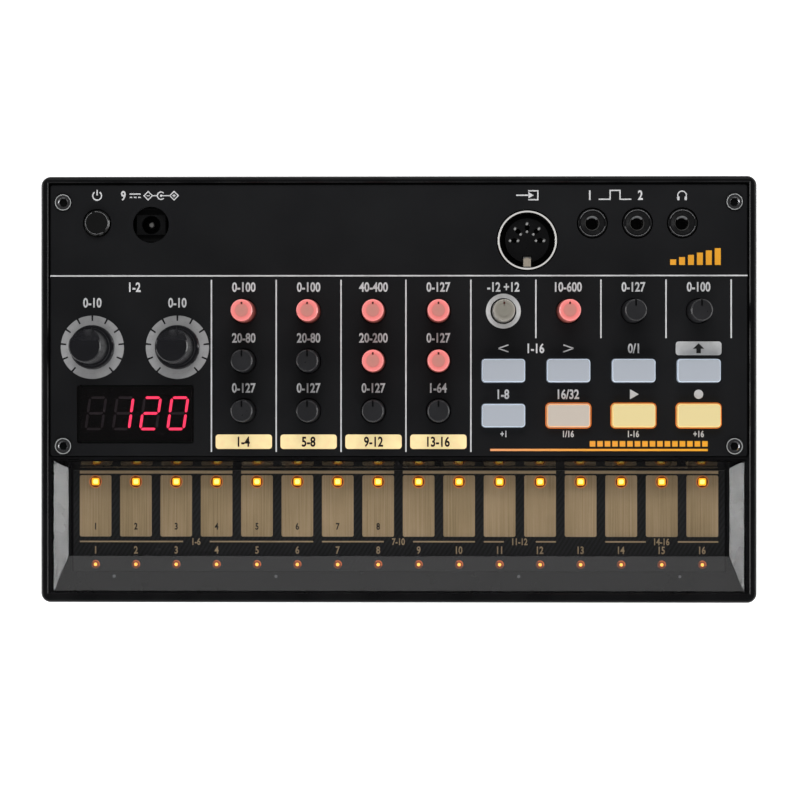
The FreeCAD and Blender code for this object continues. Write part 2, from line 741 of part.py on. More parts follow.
def main_board():
    board = block(-BOARD_X, BOARD_X, BOARD_FRONT_EDGE, BOARD_BACK_EDGE, BOARD_BOTTOM, BOARD_TOP)
    holes = [rod(x, y, BOARD_SCREW_R + SCREW_GAP, BOARD_BOTTOM - PROBE, BOARD_TOP + PROBE)
             for x, y in board_post_places()]
    return drilled(board, holes)


def small_knob_seat():
    return BOARD_TOP + POT_H + SEAT_GAP


def small_knob(x, y, lit, clear):
    top = PANEL_TOP + SMALL_KNOB_HEIGHT
    seat = small_knob_seat()
    edge = SMALL_KNOB_EDGE
    profile = [(0, seat - STUB_L), (STUB_R, seat - STUB_L), (STUB_R, seat), (SMALL_KNOB_BASE_R, seat),
               (SMALL_KNOB_BASE_R, PANEL_TOP), (SMALL_KNOB_TOP_R, top - edge),
               (SMALL_KNOB_TOP_R - edge, top), (0, top)]
    knob = turned(x, y, profile)
    rim = y + SMALL_KNOB_TOP_R
    low = top - POINTER_DEPTH
    if lit:
        start = rim - edge - DIMPLE_INSET - DIMPLE_L
        pointer = block(x - POINTER_W / 2, x + POINTER_W / 2, start, start + DIMPLE_L, low, top + PROBE)
    else:
        pointer = block(x - POINTER_W / 2, x + POINTER_W / 2, rim - POINTER_L, rim + PROBE, low, top + PROBE)
    cuts = [pointer]
    if lit or clear:
        cuts.append(rod(x, y, DISH_R, top - DISH_DEPTH, top + PROBE))
    return drilled(knob, cuts)


def large_knob(x, y):
    top = PANEL_TOP + LARGE_KNOB_HEIGHT
    base = PANEL_TOP + FLANGE_LIFT
    flange_top = base + FLANGE_T
    ring_top = flange_top + RING_T
    edge = SMALL_KNOB_EDGE
    profile = [(0, base), (LARGE_KNOB_FLANGE_R, base), (LARGE_KNOB_FLANGE_R, flange_top - edge),
               (LARGE_KNOB_FLANGE_R - edge, flange_top), (LARGE_KNOB_RING_R, flange_top),
               (LARGE_KNOB_RING_R - edge, ring_top), (LARGE_KNOB_WAIST_R, ring_top),
               (LARGE_KNOB_TOP_R, top - edge), (LARGE_KNOB_TOP_R - edge, top), (0, top)]
    knob = turned(x, y, profile)
    slant = math.degrees(math.atan2(FACET_DROP, FACET_REACH))
    facet = Part.makeBox(4 * LARGE_KNOB_FLANGE_R, 3 * LARGE_KNOB_HEIGHT, LARGE_KNOB_HEIGHT,
                         vec(-2 * LARGE_KNOB_FLANGE_R, 0, 0))
    facet.rotate(vec(0, 0, 0), vec(1, 0, 0), -slant)
    facet.translate(vec(x, y + FACET_FROM, top))
    floor = block(x - 2 * LARGE_KNOB_FLANGE_R, x + 2 * LARGE_KNOB_FLANGE_R, y - DEPTH, y + DEPTH,
                  -HALF_D, ring_top)
    facet = facet.cut(floor)
    tip = y + LARGE_KNOB_FLANGE_R
    notch_points = [vec(x - NOTCH, tip + PROBE, base - PROBE), vec(x, tip - NOTCH, base - PROBE),
                    vec(x + NOTCH, tip + PROBE, base - PROBE), vec(x - NOTCH, tip + PROBE, base - PROBE)]
    notch = Part.Face(Part.makePolygon(notch_points)).extrude(vec(0, 0, FLANGE_T + 2 * PROBE))
    socket = rod(x, y, LARGE_SHAFT_R + PUSH_GAP, base - PROBE, PANEL_TOP + LARGE_SHAFT_TOP + PUSH_GAP)
    relief = rod(x, y, BUSHING_R + FIT_GAP, base - PROBE, base + FLANGE_T)
    return drilled(knob, [facet, notch, socket, relief])


def large_shaft(x, y):
    seat = BOARD_TOP + SEAT_GAP
    shaft = rod(x, y, LARGE_SHAFT_R, seat, PANEL_TOP + LARGE_SHAFT_TOP)
    return shaft


def pot_bodies():
    pots = []
    for column, row, x, y in small_knob_places():
        body = centred(x, y, POT_W, POT_L, BOARD_TOP, BOARD_TOP + POT_H)
        bore = rod(x, y, STUB_R + TURN_GAP, small_knob_seat() - STUB_L - SEAT_GAP, PANEL_TOP)
        pots.append(body.cut(bore))
    for x in LARGE_KNOB_X:
        body = centred(x, LARGE_KNOB_Y, LARGE_POT_W, POT_L, BOARD_TOP, BOARD_TOP + LARGE_POT_H)
        bushing = rod(x, LARGE_KNOB_Y, BUSHING_R, BOARD_TOP + LARGE_POT_H / 2, PANEL_TOP + BUSHING_TOP)
        bore = rod(x, LARGE_KNOB_Y, LARGE_SHAFT_R + TURN_GAP, BOARD_TOP + SEAT_GAP / 2, PANEL_TOP + PROBE)
        pots.append(joined([body, bushing]).cut(bore))
    return pots


def button(x, y):
    top = PANEL_TOP + BUTTON_PROUD
    flange_top = PANEL_SEAT - STOP_GAP
    flange_bottom = flange_top - BUTTON_FLANGE_T
    cap = round_centred(x, y, BUTTON_W, BUTTON_L, flange_bottom, top, BUTTON_R)
    cap = cap.makeFillet(BUTTON_EDGE_R, edges_at(cap, top))
    flange = centred(x, y, BUTTON_W + 2 * BUTTON_FLANGE, BUTTON_L + 2 * BUTTON_FLANGE,
                     flange_bottom, flange_top)
    switch_top = BOARD_TOP + SWITCH_H + SWITCH_STEM_H
    stem = rod(x, y, BUTTON_STEM_R, switch_top + BUTTON_TRAVEL + STOP_GAP, flange_top)
    return joined([cap, flange, stem])


def switch(x, y):
    body = centred(x, y, SWITCH_W, SWITCH_W, BOARD_TOP, BOARD_TOP + SWITCH_H)
    stem = rod(x, y, SWITCH_STEM_R, BOARD_TOP + SWITCH_H / 2, BOARD_TOP + SWITCH_H + SWITCH_STEM_H)
    return joined([body, stem])


def switches():
    places = [(x, y) for row, column, x, y in button_places()]
    places.append((POWER_X, POWER_Y))
    return [switch(x, y) for x, y in places]


def power_button():
    top = PANEL_TOP + POWER_PROUD
    cap = rod(POWER_X, POWER_Y, POWER_R, PANEL_SEAT - BUTTON_FLANGE_T, top)
    cap = cap.makeChamfer(POWER_EDGE, edges_at(cap, top))
    flange_top = PANEL_SEAT - STOP_GAP
    flange_r = POWER_R + POWER_GAP + BUTTON_FLANGE
    flange = rod(POWER_X, POWER_Y, flange_r, flange_top - BUTTON_FLANGE_T, flange_top)
    stem_bottom = BOARD_TOP + SWITCH_H + SWITCH_STEM_H + POWER_TRAVEL + STOP_GAP
    stem = rod(POWER_X, POWER_Y, BUTTON_STEM_R, stem_bottom, flange_top)
    return joined([cap, flange, stem])


def display_lens():
    return round_centred(DISPLAY_X, DISPLAY_Y, DISPLAY_W, DISPLAY_L, PANEL_TOP - LENS_T, PANEL_TOP, LENS_R)


def display_module():
    return centred(DISPLAY_X, DISPLAY_Y, DISPLAY_W - 2 * MODULE_INSET, DISPLAY_L - 2 * MODULE_INSET,
                   BOARD_TOP, PANEL_TOP - LENS_T - FIT_GAP)


def dc_jack():
    top = PANEL_TOP - DC_SINK
    collar_top = PANEL_SEAT - STOP_GAP
    body = centred(DC_X, DC_Y, DC_BODY_W + 2 * FIT_GAP, DC_BODY_L, BOARD_TOP, collar_top)
    nose_l = 2 * math.sqrt((DC_HOLE_R - FIT_GAP) ** 2 - (DC_BODY_W / 2) ** 2)
    nose = centred(DC_X, DC_Y, DC_BODY_W, nose_l, collar_top - PROBE, top)
    bore = rod(DC_X, DC_Y, DC_BORE_R, top - DC_BORE_DEPTH, top + PROBE)
    return joined([body, nose]).cut(bore)


def dc_jack_pin():
    floor = PANEL_TOP - DC_SINK - DC_BORE_DEPTH
    pin = rod(DC_X, DC_Y, DC_PIN_R, floor, PANEL_TOP - DC_SINK - DC_PIN_SINK)
    return pin.makeChamfer(DC_PIN_R / 3, edges_at(pin, PANEL_TOP - DC_SINK - DC_PIN_SINK))


def din_shell():
    top = PANEL_TOP + DIN_SHELL_PROUD
    inner = DIN_SHELL_R - DIN_SHELL_T
    shell = tube(DIN_X, DIN_Y, DIN_SHELL_R, inner, BOARD_TOP, top)
    shell = shell.makeFillet(DIN_SHELL_T * WALL_ROUND, edges_at(shell, top))
    key_top = top - KEY_SINK
    key = block(DIN_X - KEY_W / 2, DIN_X + KEY_W / 2, DIN_Y - inner - DIN_SHELL_T / 2,
                DIN_Y - KEY_REACH, key_top - KEY_T, key_top)
    return joined([shell, key])


def din_insulator():
    face = PANEL_TOP - DIN_CORE_SINK
    base = rod(DIN_X, DIN_Y, DIN_SHELL_R - DIN_SHELL_T - FIT_GAP / 2, BOARD_TOP, BOARD_TOP + DIN_BASE_T)
    core = rod(DIN_X, DIN_Y, DIN_CORE_R, BOARD_TOP + DIN_BASE_T / 2, face)
    slots = []
    for angle in din_angles():
        slot = round_block(DIN_PIN_CIRCLE_R - DIN_SLOT_L / 2, DIN_PIN_CIRCLE_R + DIN_SLOT_L / 2,
                           -DIN_SLOT_W / 2, DIN_SLOT_W / 2, face - DIN_SLOT_DEPTH, face + PROBE,
                           DIN_SLOT_W * SLOT_ROUND)
        hub = rod(DIN_PIN_CIRCLE_R, 0, DIN_SLOT_W * DIN_HUB, face - DIN_SLOT_DEPTH, face + PROBE)
        cutter = joined([slot, hub])
        cutter.rotate(vec(0, 0, 0), vec(0, 0, 1), angle)
        cutter.translate(vec(DIN_X, DIN_Y, 0))
        slots.append(cutter)
    keyway = block(DIN_X - KEY_W / 2 - KEY_GAP, DIN_X + KEY_W / 2 + KEY_GAP, DIN_Y - DIN_SHELL_R,
                   DIN_Y - KEY_REACH + KEY_GAP, BOARD_TOP + DIN_BASE_T, face + PROBE)
    return drilled(joined([base, core]), slots + [keyway])


def din_angles():
    return [DIN_PIN_STEP * i for i in range(DIN_PINS)]


def din_contacts():
    contacts = []
    floor = PANEL_TOP - DIN_CORE_SINK - DIN_SLOT_DEPTH
    reach = DIN_SLOT_L / 2 - DIN_CONTACT_R - SCREW_GAP
    for angle in din_angles():
        turn = math.radians(angle)
        for radius in (DIN_PIN_CIRCLE_R - reach, DIN_PIN_CIRCLE_R + reach):
            x = DIN_X + radius * math.cos(turn)
            y = DIN_Y + radius * math.sin(turn)
            contacts.append(rod(x, y, DIN_CONTACT_R, floor, floor + DIN_CONTACT_H))
    return contacts


def jack_body(x):
    top = PANEL_TOP + JACK_PROUD
    shoulder = PANEL_SEAT - STOP_GAP
    body = centred(x, JACK_Y, JACK_BODY_W, JACK_BODY_L, BOARD_TOP, shoulder)
    collar = rod(x, JACK_Y, JACK_COLLAR_R, shoulder - PROBE, top)
    collar = collar.makeFillet(JACK_COLLAR_EDGE, edges_at(collar, top))
    sleeve_top = top - JACK_FACE_SLOPE - JACK_MOUTH_T
    mouth_r = SLEEVE_BORE_R + SLEEVE_T / 3
    mouth = rod(x, JACK_Y, mouth_r, sleeve_top - PROBE, top + PROBE)
    face = taper(x, JACK_Y, mouth_r, JACK_MOUTH_R + JACK_FACE_SLOPE, top - JACK_FACE_SLOPE, top)
    socket = rod(x, JACK_Y, SLEEVE_BORE_R + SLEEVE_T + SCREW_GAP, sleeve_top - SLEEVE_L, sleeve_top)
    return drilled(joined([body, collar]), [mouth, face, socket])


def jack_sleeve(x):
    sleeve_top = PANEL_TOP + JACK_PROUD - JACK_FACE_SLOPE - JACK_MOUTH_T
    return tube(x, JACK_Y, SLEEVE_BORE_R + SLEEVE_T, SLEEVE_BORE_R, sleeve_top - SLEEVE_L, sleeve_top)


def backlights():
    chips = []
    for column, row, x, y in small_knob_places():
        if (column, row) in LIT_KNOBS:
            chips.append(centred(x - POT_W / 2 - CHIP_W, y, CHIP_W, CHIP_L, BOARD_TOP, BOARD_TOP + CHIP_H))
    for row, column, x, y in button_places():
        chips.append(centred(x - CHIP_OFFSET, y, CHIP_W, CHIP_L, BOARD_TOP, BOARD_TOP + CHIP_H))
    return chips


# Speaker

def speaker_frame():
    bottom = FLOOR_TOP
    rim_top = bottom + SPEAKER_FRAME_T
    top = bottom + SPEAKER_FRAME_H
    inner = SPEAKER_R - SPEAKER_RIM
    profile = [(inner, bottom), (SPEAKER_R, bottom), (SPEAKER_R, rim_top), (inner + SPEAKER_FRAME_T, rim_top),
               (MAGNET_SEAT_R, top), (MAGNET_R / 2, top), (MAGNET_R / 2, top - SPEAKER_FRAME_T),
               (MAGNET_SEAT_R - SPEAKER_FRAME_T, top - SPEAKER_FRAME_T), (inner, rim_top)]
    return turned(SPEAKER_X, SPEAKER_Y, profile)


def speaker_cone():
    bottom = FLOOR_TOP
    inner = SPEAKER_R - SPEAKER_RIM - FIT_GAP
    top = bottom + SPEAKER_FRAME_H - 2 * SPEAKER_FRAME_T
    hub = MAGNET_R / 2
    profile = [(0, top - CONE_T), (hub, top - CONE_T), (inner, bottom + CONE_T), (inner, bottom + 2 * CONE_T),
               (hub, top), (0, top)]
    return turned(SPEAKER_X, SPEAKER_Y, profile)


def speaker_magnet():
    bottom = FLOOR_TOP + SPEAKER_FRAME_H
    magnet = rod(SPEAKER_X, SPEAKER_Y, MAGNET_R, bottom, bottom + MAGNET_H)
    return magnet.makeChamfer(FOOT_EDGE, edges_at(magnet, bottom + MAGNET_H))


# Batteries

def lying(radius, length, x, y, z):
    return Part.makeCylinder(radius, length, vec(x, y, z), vec(0, 1, 0))


def cell_places():
    first = BAY_X - CELL_PITCH * (CELLS - 1) / 2
    return [(first + CELL_PITCH * i, 1 if i % 2 == 0 else -1) for i in range(CELLS)]


def battery_cells():
    cells = []
    for x, way in cell_places():
        nub_end = BAY_Y + way * (BAY_L / 2 - PLATE_T)
        body_l = CELL_L - CELL_NUB_L
        start = nub_end - way * CELL_NUB_L
        low = min(start, start - way * body_l)
        body = lying(CELL_R, body_l, x, low, CELL_AXIS)
        nub = lying(CELL_NUB_R, CELL_NUB_L + PROBE, x, min(nub_end, start - way * PROBE), CELL_AXIS)
        cells.append(joined([body, nub]))
    return cells


def battery_contacts():
    pieces = []
    for x, way in cell_places():
        for side in (-1, 1):
            wall = BAY_Y + side * BAY_L / 2
            low = min(wall, wall - side * PLATE_T)
            plate = block(x - PLATE_W / 2, x + PLATE_W / 2, low, low + PLATE_T,
                          CELL_AXIS - PLATE_H / 2, CELL_AXIS + PLATE_H / 2)
            if side != way:
                plate = joined([plate, spring(x, wall - side * PLATE_T, -side)])
            pieces.append(plate)
    return pieces


def spring(x, y, way):
    wire = SPRING_L / SPRING_TURNS
    coils = []
    for i in range(SPRING_TURNS):
        reach = SPRING_R * (1 - SPRING_TAPER * i / SPRING_TURNS)
        start = wire * i
        coils.append(Part.makeCone(reach, reach - wire / 2, wire, vec(0, start, 0), vec(0, 1, 0)))
    coil = joined(coils)
    core = Part.makeCylinder(SPRING_R / 3, SPRING_L, vec(0, 0, 0), vec(0, 1, 0))
    coil = coil.cut(core)
    if way < 0:
        coil = coil.mirror(vec(0, 0, 0), vec(0, 1, 0))
    coil.translate(vec(x, y, CELL_AXIS))
    return coil


def battery_door():
    plate = round_centred(BAY_X, BAY_Y, DOOR_W, DOOR_L, CASE_BOTTOM, DOOR_INNER, LENS_R)
    solids = [plate]
    for x in hook_places():
        lip_bottom = FLOOR_TOP + HOOK_LIFT
        solids.append(block(x - HOOK_W / 2, x + HOOK_W / 2, DOOR_HINGE_Y, DOOR_HINGE_Y + HOOK_ROOT,
                            DOOR_INNER - DOOR_T / 2, lip_bottom + HOOK_T))
        solids.append(block(x - HOOK_W / 2, x + HOOK_W / 2, DOOR_HINGE_Y - HOOK_REACH,
                            DOOR_HINGE_Y + HOOK_ROOT, lip_bottom, lip_bottom + HOOK_T))
    far = BAY_Y + DOOR_L / 2
    cuts = []
    for side in (-1, 1):
        x = BAY_X + side * LATCH_W / 2
        cuts.append(block(x - LATCH_SLIT / 2, x + LATCH_SLIT / 2, far - LATCH_L, far + PROBE,
                          CASE_BOTTOM - PROBE, DOOR_INNER + PROBE))
    for i in range(GRIP_RIBS):
        y = far - GRIP_PITCH * (i + 1)
        cuts.append(centred(BAY_X, y, LATCH_W - 4 * LATCH_SLIT, GRIP_T,
                            CASE_BOTTOM - PROBE, CASE_BOTTOM + GRIP_T))
    return drilled(joined(solids), cuts)


# Feet and fasteners

def rubber_feet():
    feet = []
    for x, y in foot_places():
        foot = rod(x, y, FOOT_R, 0, CASE_BOTTOM + FOOT_SINK)
        feet.append(foot.makeChamfer(FOOT_EDGE, edges_at(foot, 0)))
    return feet


def hexagon(x, y, flats, z0, z1):
    reach = flats / math.sqrt(3)
    points = []
    for i in range(7):
        turn = math.radians(60 * i)
        points.append(vec(x + reach * math.cos(turn), y + reach * math.sin(turn), z0))
    return Part.Face(Part.makePolygon(points)).extrude(vec(0, 0, z1 - z0))


def panel_screws():
    screws = []
    for x, y in panel_screw_places():
        seat = PANEL_TOP - PANEL_SCREW_SINK
        top = seat + PANEL_SCREW_HEAD_T
        head = rod(x, y, PANEL_SCREW_HEAD_R, seat, top)
        head = head.makeFillet(HEX_CHAMFER, edges_at(head, top))
        shank = rod(x, y, PANEL_SCREW_R, seat - PANEL_SCREW_L, seat + PANEL_SCREW_HEAD_T / 4)
        socket = hexagon(x, y, HEX_FLATS, top - HEX_DEPTH, top + PROBE)
        mouth = taper(x, y, HEX_FLATS / 2, HEX_FLATS / 2 + HEX_CHAMFER, top - HEX_CHAMFER, top)
        screws.append(drilled(joined([head, shank]), [socket, mouth]))
    return screws


def case_screws():
    screws = []
    for x, y in case_screw_places():
        seat = CASE_SCREW_SEAT
        head = rod(x, y, CASE_SCREW_HEAD_R, seat - CASE_SCREW_HEAD_T, seat)
        head = head.makeFillet(HEX_CHAMFER, edges_at(head, seat - CASE_SCREW_HEAD_T))
        shank = rod(x, y, CASE_SCREW_R, seat - CASE_SCREW_HEAD_T / 2, seat + CASE_SCREW_L - CASE_SCREW_HEAD_T)
        cross = cross_slot(x, y, seat - CASE_SCREW_HEAD_T, CASE_SCREW_HEAD_R)
        screws.append(drilled(joined([head, shank]), cross))
    return screws


def cross_slot(x, y, z, reach):
    arm = reach * CROSS_REACH
    half = reach * CROSS_HALF_W
    deep = reach * CROSS_DEPTH
    return [block(x - arm, x + arm, y - half, y + half, z - deep, z + deep),
            block(x - half, x + half, y - arm, y + arm, z - deep, z + deep)]


def board_screws():
    screws = []
    for x, y in board_post_places():
        top = BOARD_TOP + BOARD_SCREW_HEAD_T
        head = rod(x, y, BOARD_SCREW_HEAD_R, BOARD_TOP, top)
        head = head.makeFillet(HEX_CHAMFER, edges_at(head, top))
        shank = rod(x, y, BOARD_SCREW_R, BOARD_TOP - BOARD_SCREW_L, BOARD_TOP + BOARD_SCREW_HEAD_T / 2)
        screws.append(drilled(joined([head, shank]), cross_slot(x, y, top, BOARD_SCREW_HEAD_R)))
    return screws


# Write every piece

os.makedirs("parts", exist_ok=True)

save("lower_case", [lower_case()])
save("top_frame", [top_frame()])
save("top_panel", [top_panel()])
save("touch_window", [touch_window()])
save("touch_board", [touch_board()])
save("touch_pads", touch_pads())
save("step_lights", step_lights())
save("main_board", [main_board()])
save("pot_bodies", pot_bodies())
save("switches", switches())
save("display_module", [display_module()])
save("display_lens", [display_lens()])
save("dc_jack", [dc_jack()])
save("dc_jack_pin", [dc_jack_pin()])
save("din_shell", [din_shell()])
save("din_insulator", [din_insulator()])
save("din_contacts", din_contacts())
save("jack_bodies", [jack_body(x) for x in jack_places()])
save("jack_sleeves", [jack_sleeve(x) for x in jack_places()])
save("backlights", backlights())
save("speaker_frame", [speaker_frame()])
save("speaker_cone", [speaker_cone()])
save("speaker_magnet", [speaker_magnet()])
save("battery_cells", battery_cells())
save("battery_contacts", battery_contacts())
save("battery_door", [battery_door()])
save("rubber_feet", rubber_feet())
save("panel_screws", panel_screws())
save("case_screws", case_screws())
save("board_screws", board_screws())
save("power_button", [power_button()])

for column, row, x, y in small_knob_places():
    lit = (column, row) in LIT_KNOBS
    clear = (column, row) == CLEAR_KNOB
    save("small_knob_" + str(column) + "_" + str(row), [small_knob(x, y, lit, clear)])

for row, column, x, y in button_places():
    save("button_" + str(row) + "_" + str(column), [button(x, y)])

for side, x in zip(("left", "right"), LARGE_KNOB_X):
    save("large_knob_" + side, [large_knob(x, LARGE_KNOB_Y)])
    save("large_shaft_" + side, [large_shaft(x, LARGE_KNOB_Y)])
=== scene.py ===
import json
import math

import bmesh
import bpy
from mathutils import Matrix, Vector


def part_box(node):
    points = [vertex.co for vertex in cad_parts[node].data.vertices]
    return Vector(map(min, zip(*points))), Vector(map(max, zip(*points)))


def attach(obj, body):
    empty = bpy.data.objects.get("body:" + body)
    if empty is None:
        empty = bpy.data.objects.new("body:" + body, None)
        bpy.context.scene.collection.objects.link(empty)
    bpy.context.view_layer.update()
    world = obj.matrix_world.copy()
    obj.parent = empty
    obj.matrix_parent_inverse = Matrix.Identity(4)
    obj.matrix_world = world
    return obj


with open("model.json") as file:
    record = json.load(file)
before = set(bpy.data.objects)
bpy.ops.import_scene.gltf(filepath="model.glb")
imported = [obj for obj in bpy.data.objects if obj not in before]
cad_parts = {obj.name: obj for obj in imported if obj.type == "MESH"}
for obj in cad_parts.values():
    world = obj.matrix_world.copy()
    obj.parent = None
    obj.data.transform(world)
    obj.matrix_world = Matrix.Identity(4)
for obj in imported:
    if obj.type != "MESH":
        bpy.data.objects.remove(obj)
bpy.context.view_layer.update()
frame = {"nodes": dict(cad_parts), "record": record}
nodes = frame["nodes"]

# Sizes on the object are in millimetres here and are turned into metres when a mesh is made.
MM = 0.001
CASE = "case"


def centre(node):
    low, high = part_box(node)
    return tuple((a + b) / 2 / MM for a, b in zip(low, high))


def top_of(node):
    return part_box(node)[1][2] / MM


# Levels read from the frame
PANEL_TOP = top_of("top_panel")
PAD_TOP = top_of("touch_pads")
MODULE_TOP = top_of("display_module")
BOARD_TOP = top_of("touch_board")

# Ink: its level over a face, the width of its lines, and the height, squeeze and weight of its figures
INK_T = 0.03
INK_LIFT = 0.005
LINE_W = 0.38
CAP = 2.4
SMALL_CAP = 1.6
SQUEEZE = 0.78
BOLD = 0.026

# Layout of the printed marks
COLUMN_1 = -41.65
COLUMN_PITCH = 17.5
BADGE_COLUMNS = range(0, 4)
BUTTON_COLUMNS = range(4, 8)
TOP_LINE_Y = 30.65
DIVIDER_TOP = 29.6
LONG_DIVIDER_END = -16.85
SHORT_DIVIDER_END = 13.8
TOP_LINE_REACH = 94.0
LONG_DIVIDERS = 5
SHORT_DIVIDERS = 4
FIRST_DIVIDER = -50.4
LABEL_ROWS = (27.6, 13.9, 0.4)
BADGE_Y = -14.1
BADGE_W = 15.2
BADGE_H = 3.9
BADGE_R = 0.8
BADGE_CAP = 2.5
BUTTON_LABEL_ROWS = (11.05, -1.3, -12.0)
DIAL_X = (-82.6, -59.6)
DIAL_Y = 11.4
DIAL_OUTER = 8.55
DIAL_INNER = 6.0
DIAL_TICK = 1.45
DIAL_TICKS = 11
DIAL_SWEEP = 280.0
DIAL_TICK_W = 0.46
DIAL_LABEL_Y = 23.4
SPEED_RING_INNER = 3.5
SPEED_RING_OUTER = 4.7


def column_x(column):
    return COLUMN_1 + column * COLUMN_PITCH


def shade(colour, share):
    return tuple(c * share for c in colour)


# Materials

class Paint:
    """One node material, with short calls for the nodes that several materials share."""

    def __init__(self, name, colour, rough, metal=0.0, specular=0.5):
        self.material = bpy.data.materials.new(name)
        self.material.use_nodes = True
        self.tree = self.material.node_tree
        self.shader = self.tree.nodes["Principled BSDF"]
        self.set("Base Color", colour)
        self.set("Roughness", rough)
        self.set("Metallic", metal)
        self.set("Specular IOR Level", specular)

    def set(self, name, value):
        if isinstance(value, tuple) and len(value) == 3:
            value = (*value, 1.0)
        self.shader.inputs[name].default_value = value

    def add(self, kind, **values):
        node = self.tree.nodes.new(kind)
        for name, value in values.items():
            setattr(node, name, value)
        return node

    def link(self, source, target):
        self.tree.links.new(source, target)

    def coords(self, kind="Object", stretch=(1.0, 1.0, 1.0), turn=0.0):
        source = self.add("ShaderNodeTexCoord")
        mapping = self.add("ShaderNodeMapping")
        mapping.inputs["Scale"].default_value = stretch
        mapping.inputs["Rotation"].default_value = (0.0, 0.0, turn)
        self.link(source.outputs[kind], mapping.inputs["Vector"])
        return mapping.outputs["Vector"]

    def noise(self, scale, detail=3.0, stretch=(1.0, 1.0, 1.0)):
        node = self.add("ShaderNodeTexNoise")
        node.inputs["Scale"].default_value = scale
        node.inputs["Detail"].default_value = detail
        self.link(self.coords(stretch=stretch), node.inputs["Vector"])
        return node.outputs["Fac"]

    def ramp(self, factor, *stops):
        node = self.add("ShaderNodeValToRGB")
        ramp = node.color_ramp
        while len(ramp.elements) < len(stops):
            ramp.elements.new(0.5)
        for element, (place, colour) in zip(ramp.elements, stops):
            element.position = place
            element.color = (*colour, 1.0)
        self.link(factor, node.inputs["Fac"])
        return node.outputs["Color"]

    def remap(self, factor, low, high, to_low, to_high):
        node = self.add("ShaderNodeMapRange")
        for name, value in zip(("From Min", "From Max", "To Min", "To Max"), (low, high, to_low, to_high)):
            node.inputs[name].default_value = value
        self.link(factor, node.inputs["Value"])
        return node.outputs["Result"]

    def math(self, operation, first, second):
        node = self.add("ShaderNodeMath", operation=operation)
        for socket, value in zip(node.inputs, (first, second)):
            if isinstance(value, (int, float)):
                socket.default_value = value
            else:
                self.link(value, socket)
        return node.outputs["Value"]

    def tint(self, colours, glowing=False):
        """Gives the surface these colours, and its own light the same ones where it glows."""
        self.link(colours, self.shader.inputs["Base Color"])
        if glowing:
            self.link(colours, self.shader.inputs["Emission Color"])

    def mix(self, factor, first, second):
        node = self.add("ShaderNodeMixShader")
        self.link(factor, node.inputs["Fac"])
        self.link(first, node.inputs[1])
        self.link(second, node.inputs[2])
        return node.outputs["Shader"]

    def surface(self, shader):
        self.link(shader, self.tree.nodes["Material Output"].inputs["Surface"])

    def mottle(self, dark, light, scale=60.0, stretch=(1.0, 1.0, 1.0)):
        factor = self.noise(scale, 4.0, stretch)
        self.tint(self.ramp(factor, (0.35, dark), (0.65, light)))

    def rough_range(self, low, high, scale=200.0):
        factor = self.noise(scale, 3.0)
        self.link(self.remap(factor, 0.3, 0.7, low, high), self.shader.inputs["Roughness"])

    def bump(self, scale, strength, distance=0.00005, stretch=(1.0, 1.0, 1.0)):
        node = self.add("ShaderNodeBump")
        node.inputs["Strength"].default_value = strength
        node.inputs["Distance"].default_value = distance
        self.link(self.noise(scale, 2.0, stretch), node.inputs["Height"])
        self.link(node.outputs["Normal"], self.shader.inputs["Normal"])

    def slope(self):
        """How far a face is tipped from lying level: 0 on top, 1 on an upright side."""
        geometry = self.add("ShaderNodeNewGeometry")
        split = self.add("ShaderNodeSeparateXYZ")
        self.link(geometry.outputs["Normal"], split.inputs["Vector"])
        return self.math("SUBTRACT", 1.0, split.outputs["Z"])

    def radius(self):
        """Distance from the middle of the piece's own box across X and Y: 1 at its sides."""
        source = self.add("ShaderNodeTexCoord")
        shift = self.add("ShaderNodeVectorMath", operation="SUBTRACT")
        shift.inputs[1].default_value = (0.5, 0.5, 0.0)
        flat = self.add("ShaderNodeVectorMath", operation="MULTIPLY")
        flat.inputs[1].default_value = (2.0, 2.0, 0.0)
        length = self.add("ShaderNodeVectorMath", operation="LENGTH")
        self.link(source.outputs["Generated"], shift.inputs[0])
        self.link(shift.outputs["Vector"], flat.inputs[0])
        self.link(flat.outputs["Vector"], length.inputs[0])
        return length.outputs["Value"]

    def glow(self, colour, strength):
        self.set("Emission Color", colour)
        self.set("Emission Strength", strength)


def case_plastic():
    paint = Paint("case_plastic", (0.006, 0.006, 0.0065), 0.2, specular=0.2)
    paint.mottle((0.0045, 0.0045, 0.005), (0.0075, 0.0075, 0.008), scale=90.0)
    paint.rough_range(0.19, 0.23, scale=700.0)
    paint.bump(2600.0, strength=0.02)
    return paint.material


def panel_plastic():
    paint = Paint("panel_plastic", (0.008, 0.0085, 0.0095), 0.5, specular=0.2)
    paint.mottle((0.0106, 0.0108, 0.0119), (0.0134, 0.0137, 0.0148), scale=45.0)
    paint.rough_range(0.42, 0.52, scale=900.0)
    paint.bump(3200.0, strength=0.2)
    return paint.material


def see_through(name, colour, shadow_tint, ior, rough):
    """Clear plastic that reflects on its outer faces only and lets lamp light through."""
    paint = Paint(name, colour, rough)
    paint.set("IOR", ior)
    paint.set("Transmission Weight", 1.0)
    leaving = paint.add("ShaderNodeBsdfRefraction")
    leaving.inputs["Color"].default_value = (1.0, 1.0, 1.0, 1.0)
    leaving.inputs["IOR"].default_value = ior
    leaving.inputs["Roughness"].default_value = rough
    side = paint.add("ShaderNodeNewGeometry")
    faces = paint.mix(side.outputs["Backfacing"], paint.shader.outputs["BSDF"], leaving.outputs["BSDF"])
    clear = paint.add("ShaderNodeBsdfTransparent")
    clear.inputs["Color"].default_value = (*shadow_tint, 1.0)
    path = paint.add("ShaderNodeLightPath")
    paint.surface(paint.mix(path.outputs["Is Shadow Ray"], faces, clear.outputs["BSDF"]))
    return paint


def smoked_window():
    return see_through("smoked_window", (0.76, 0.76, 0.78), (0.86, 0.86, 0.88), 1.52, 0.0).material


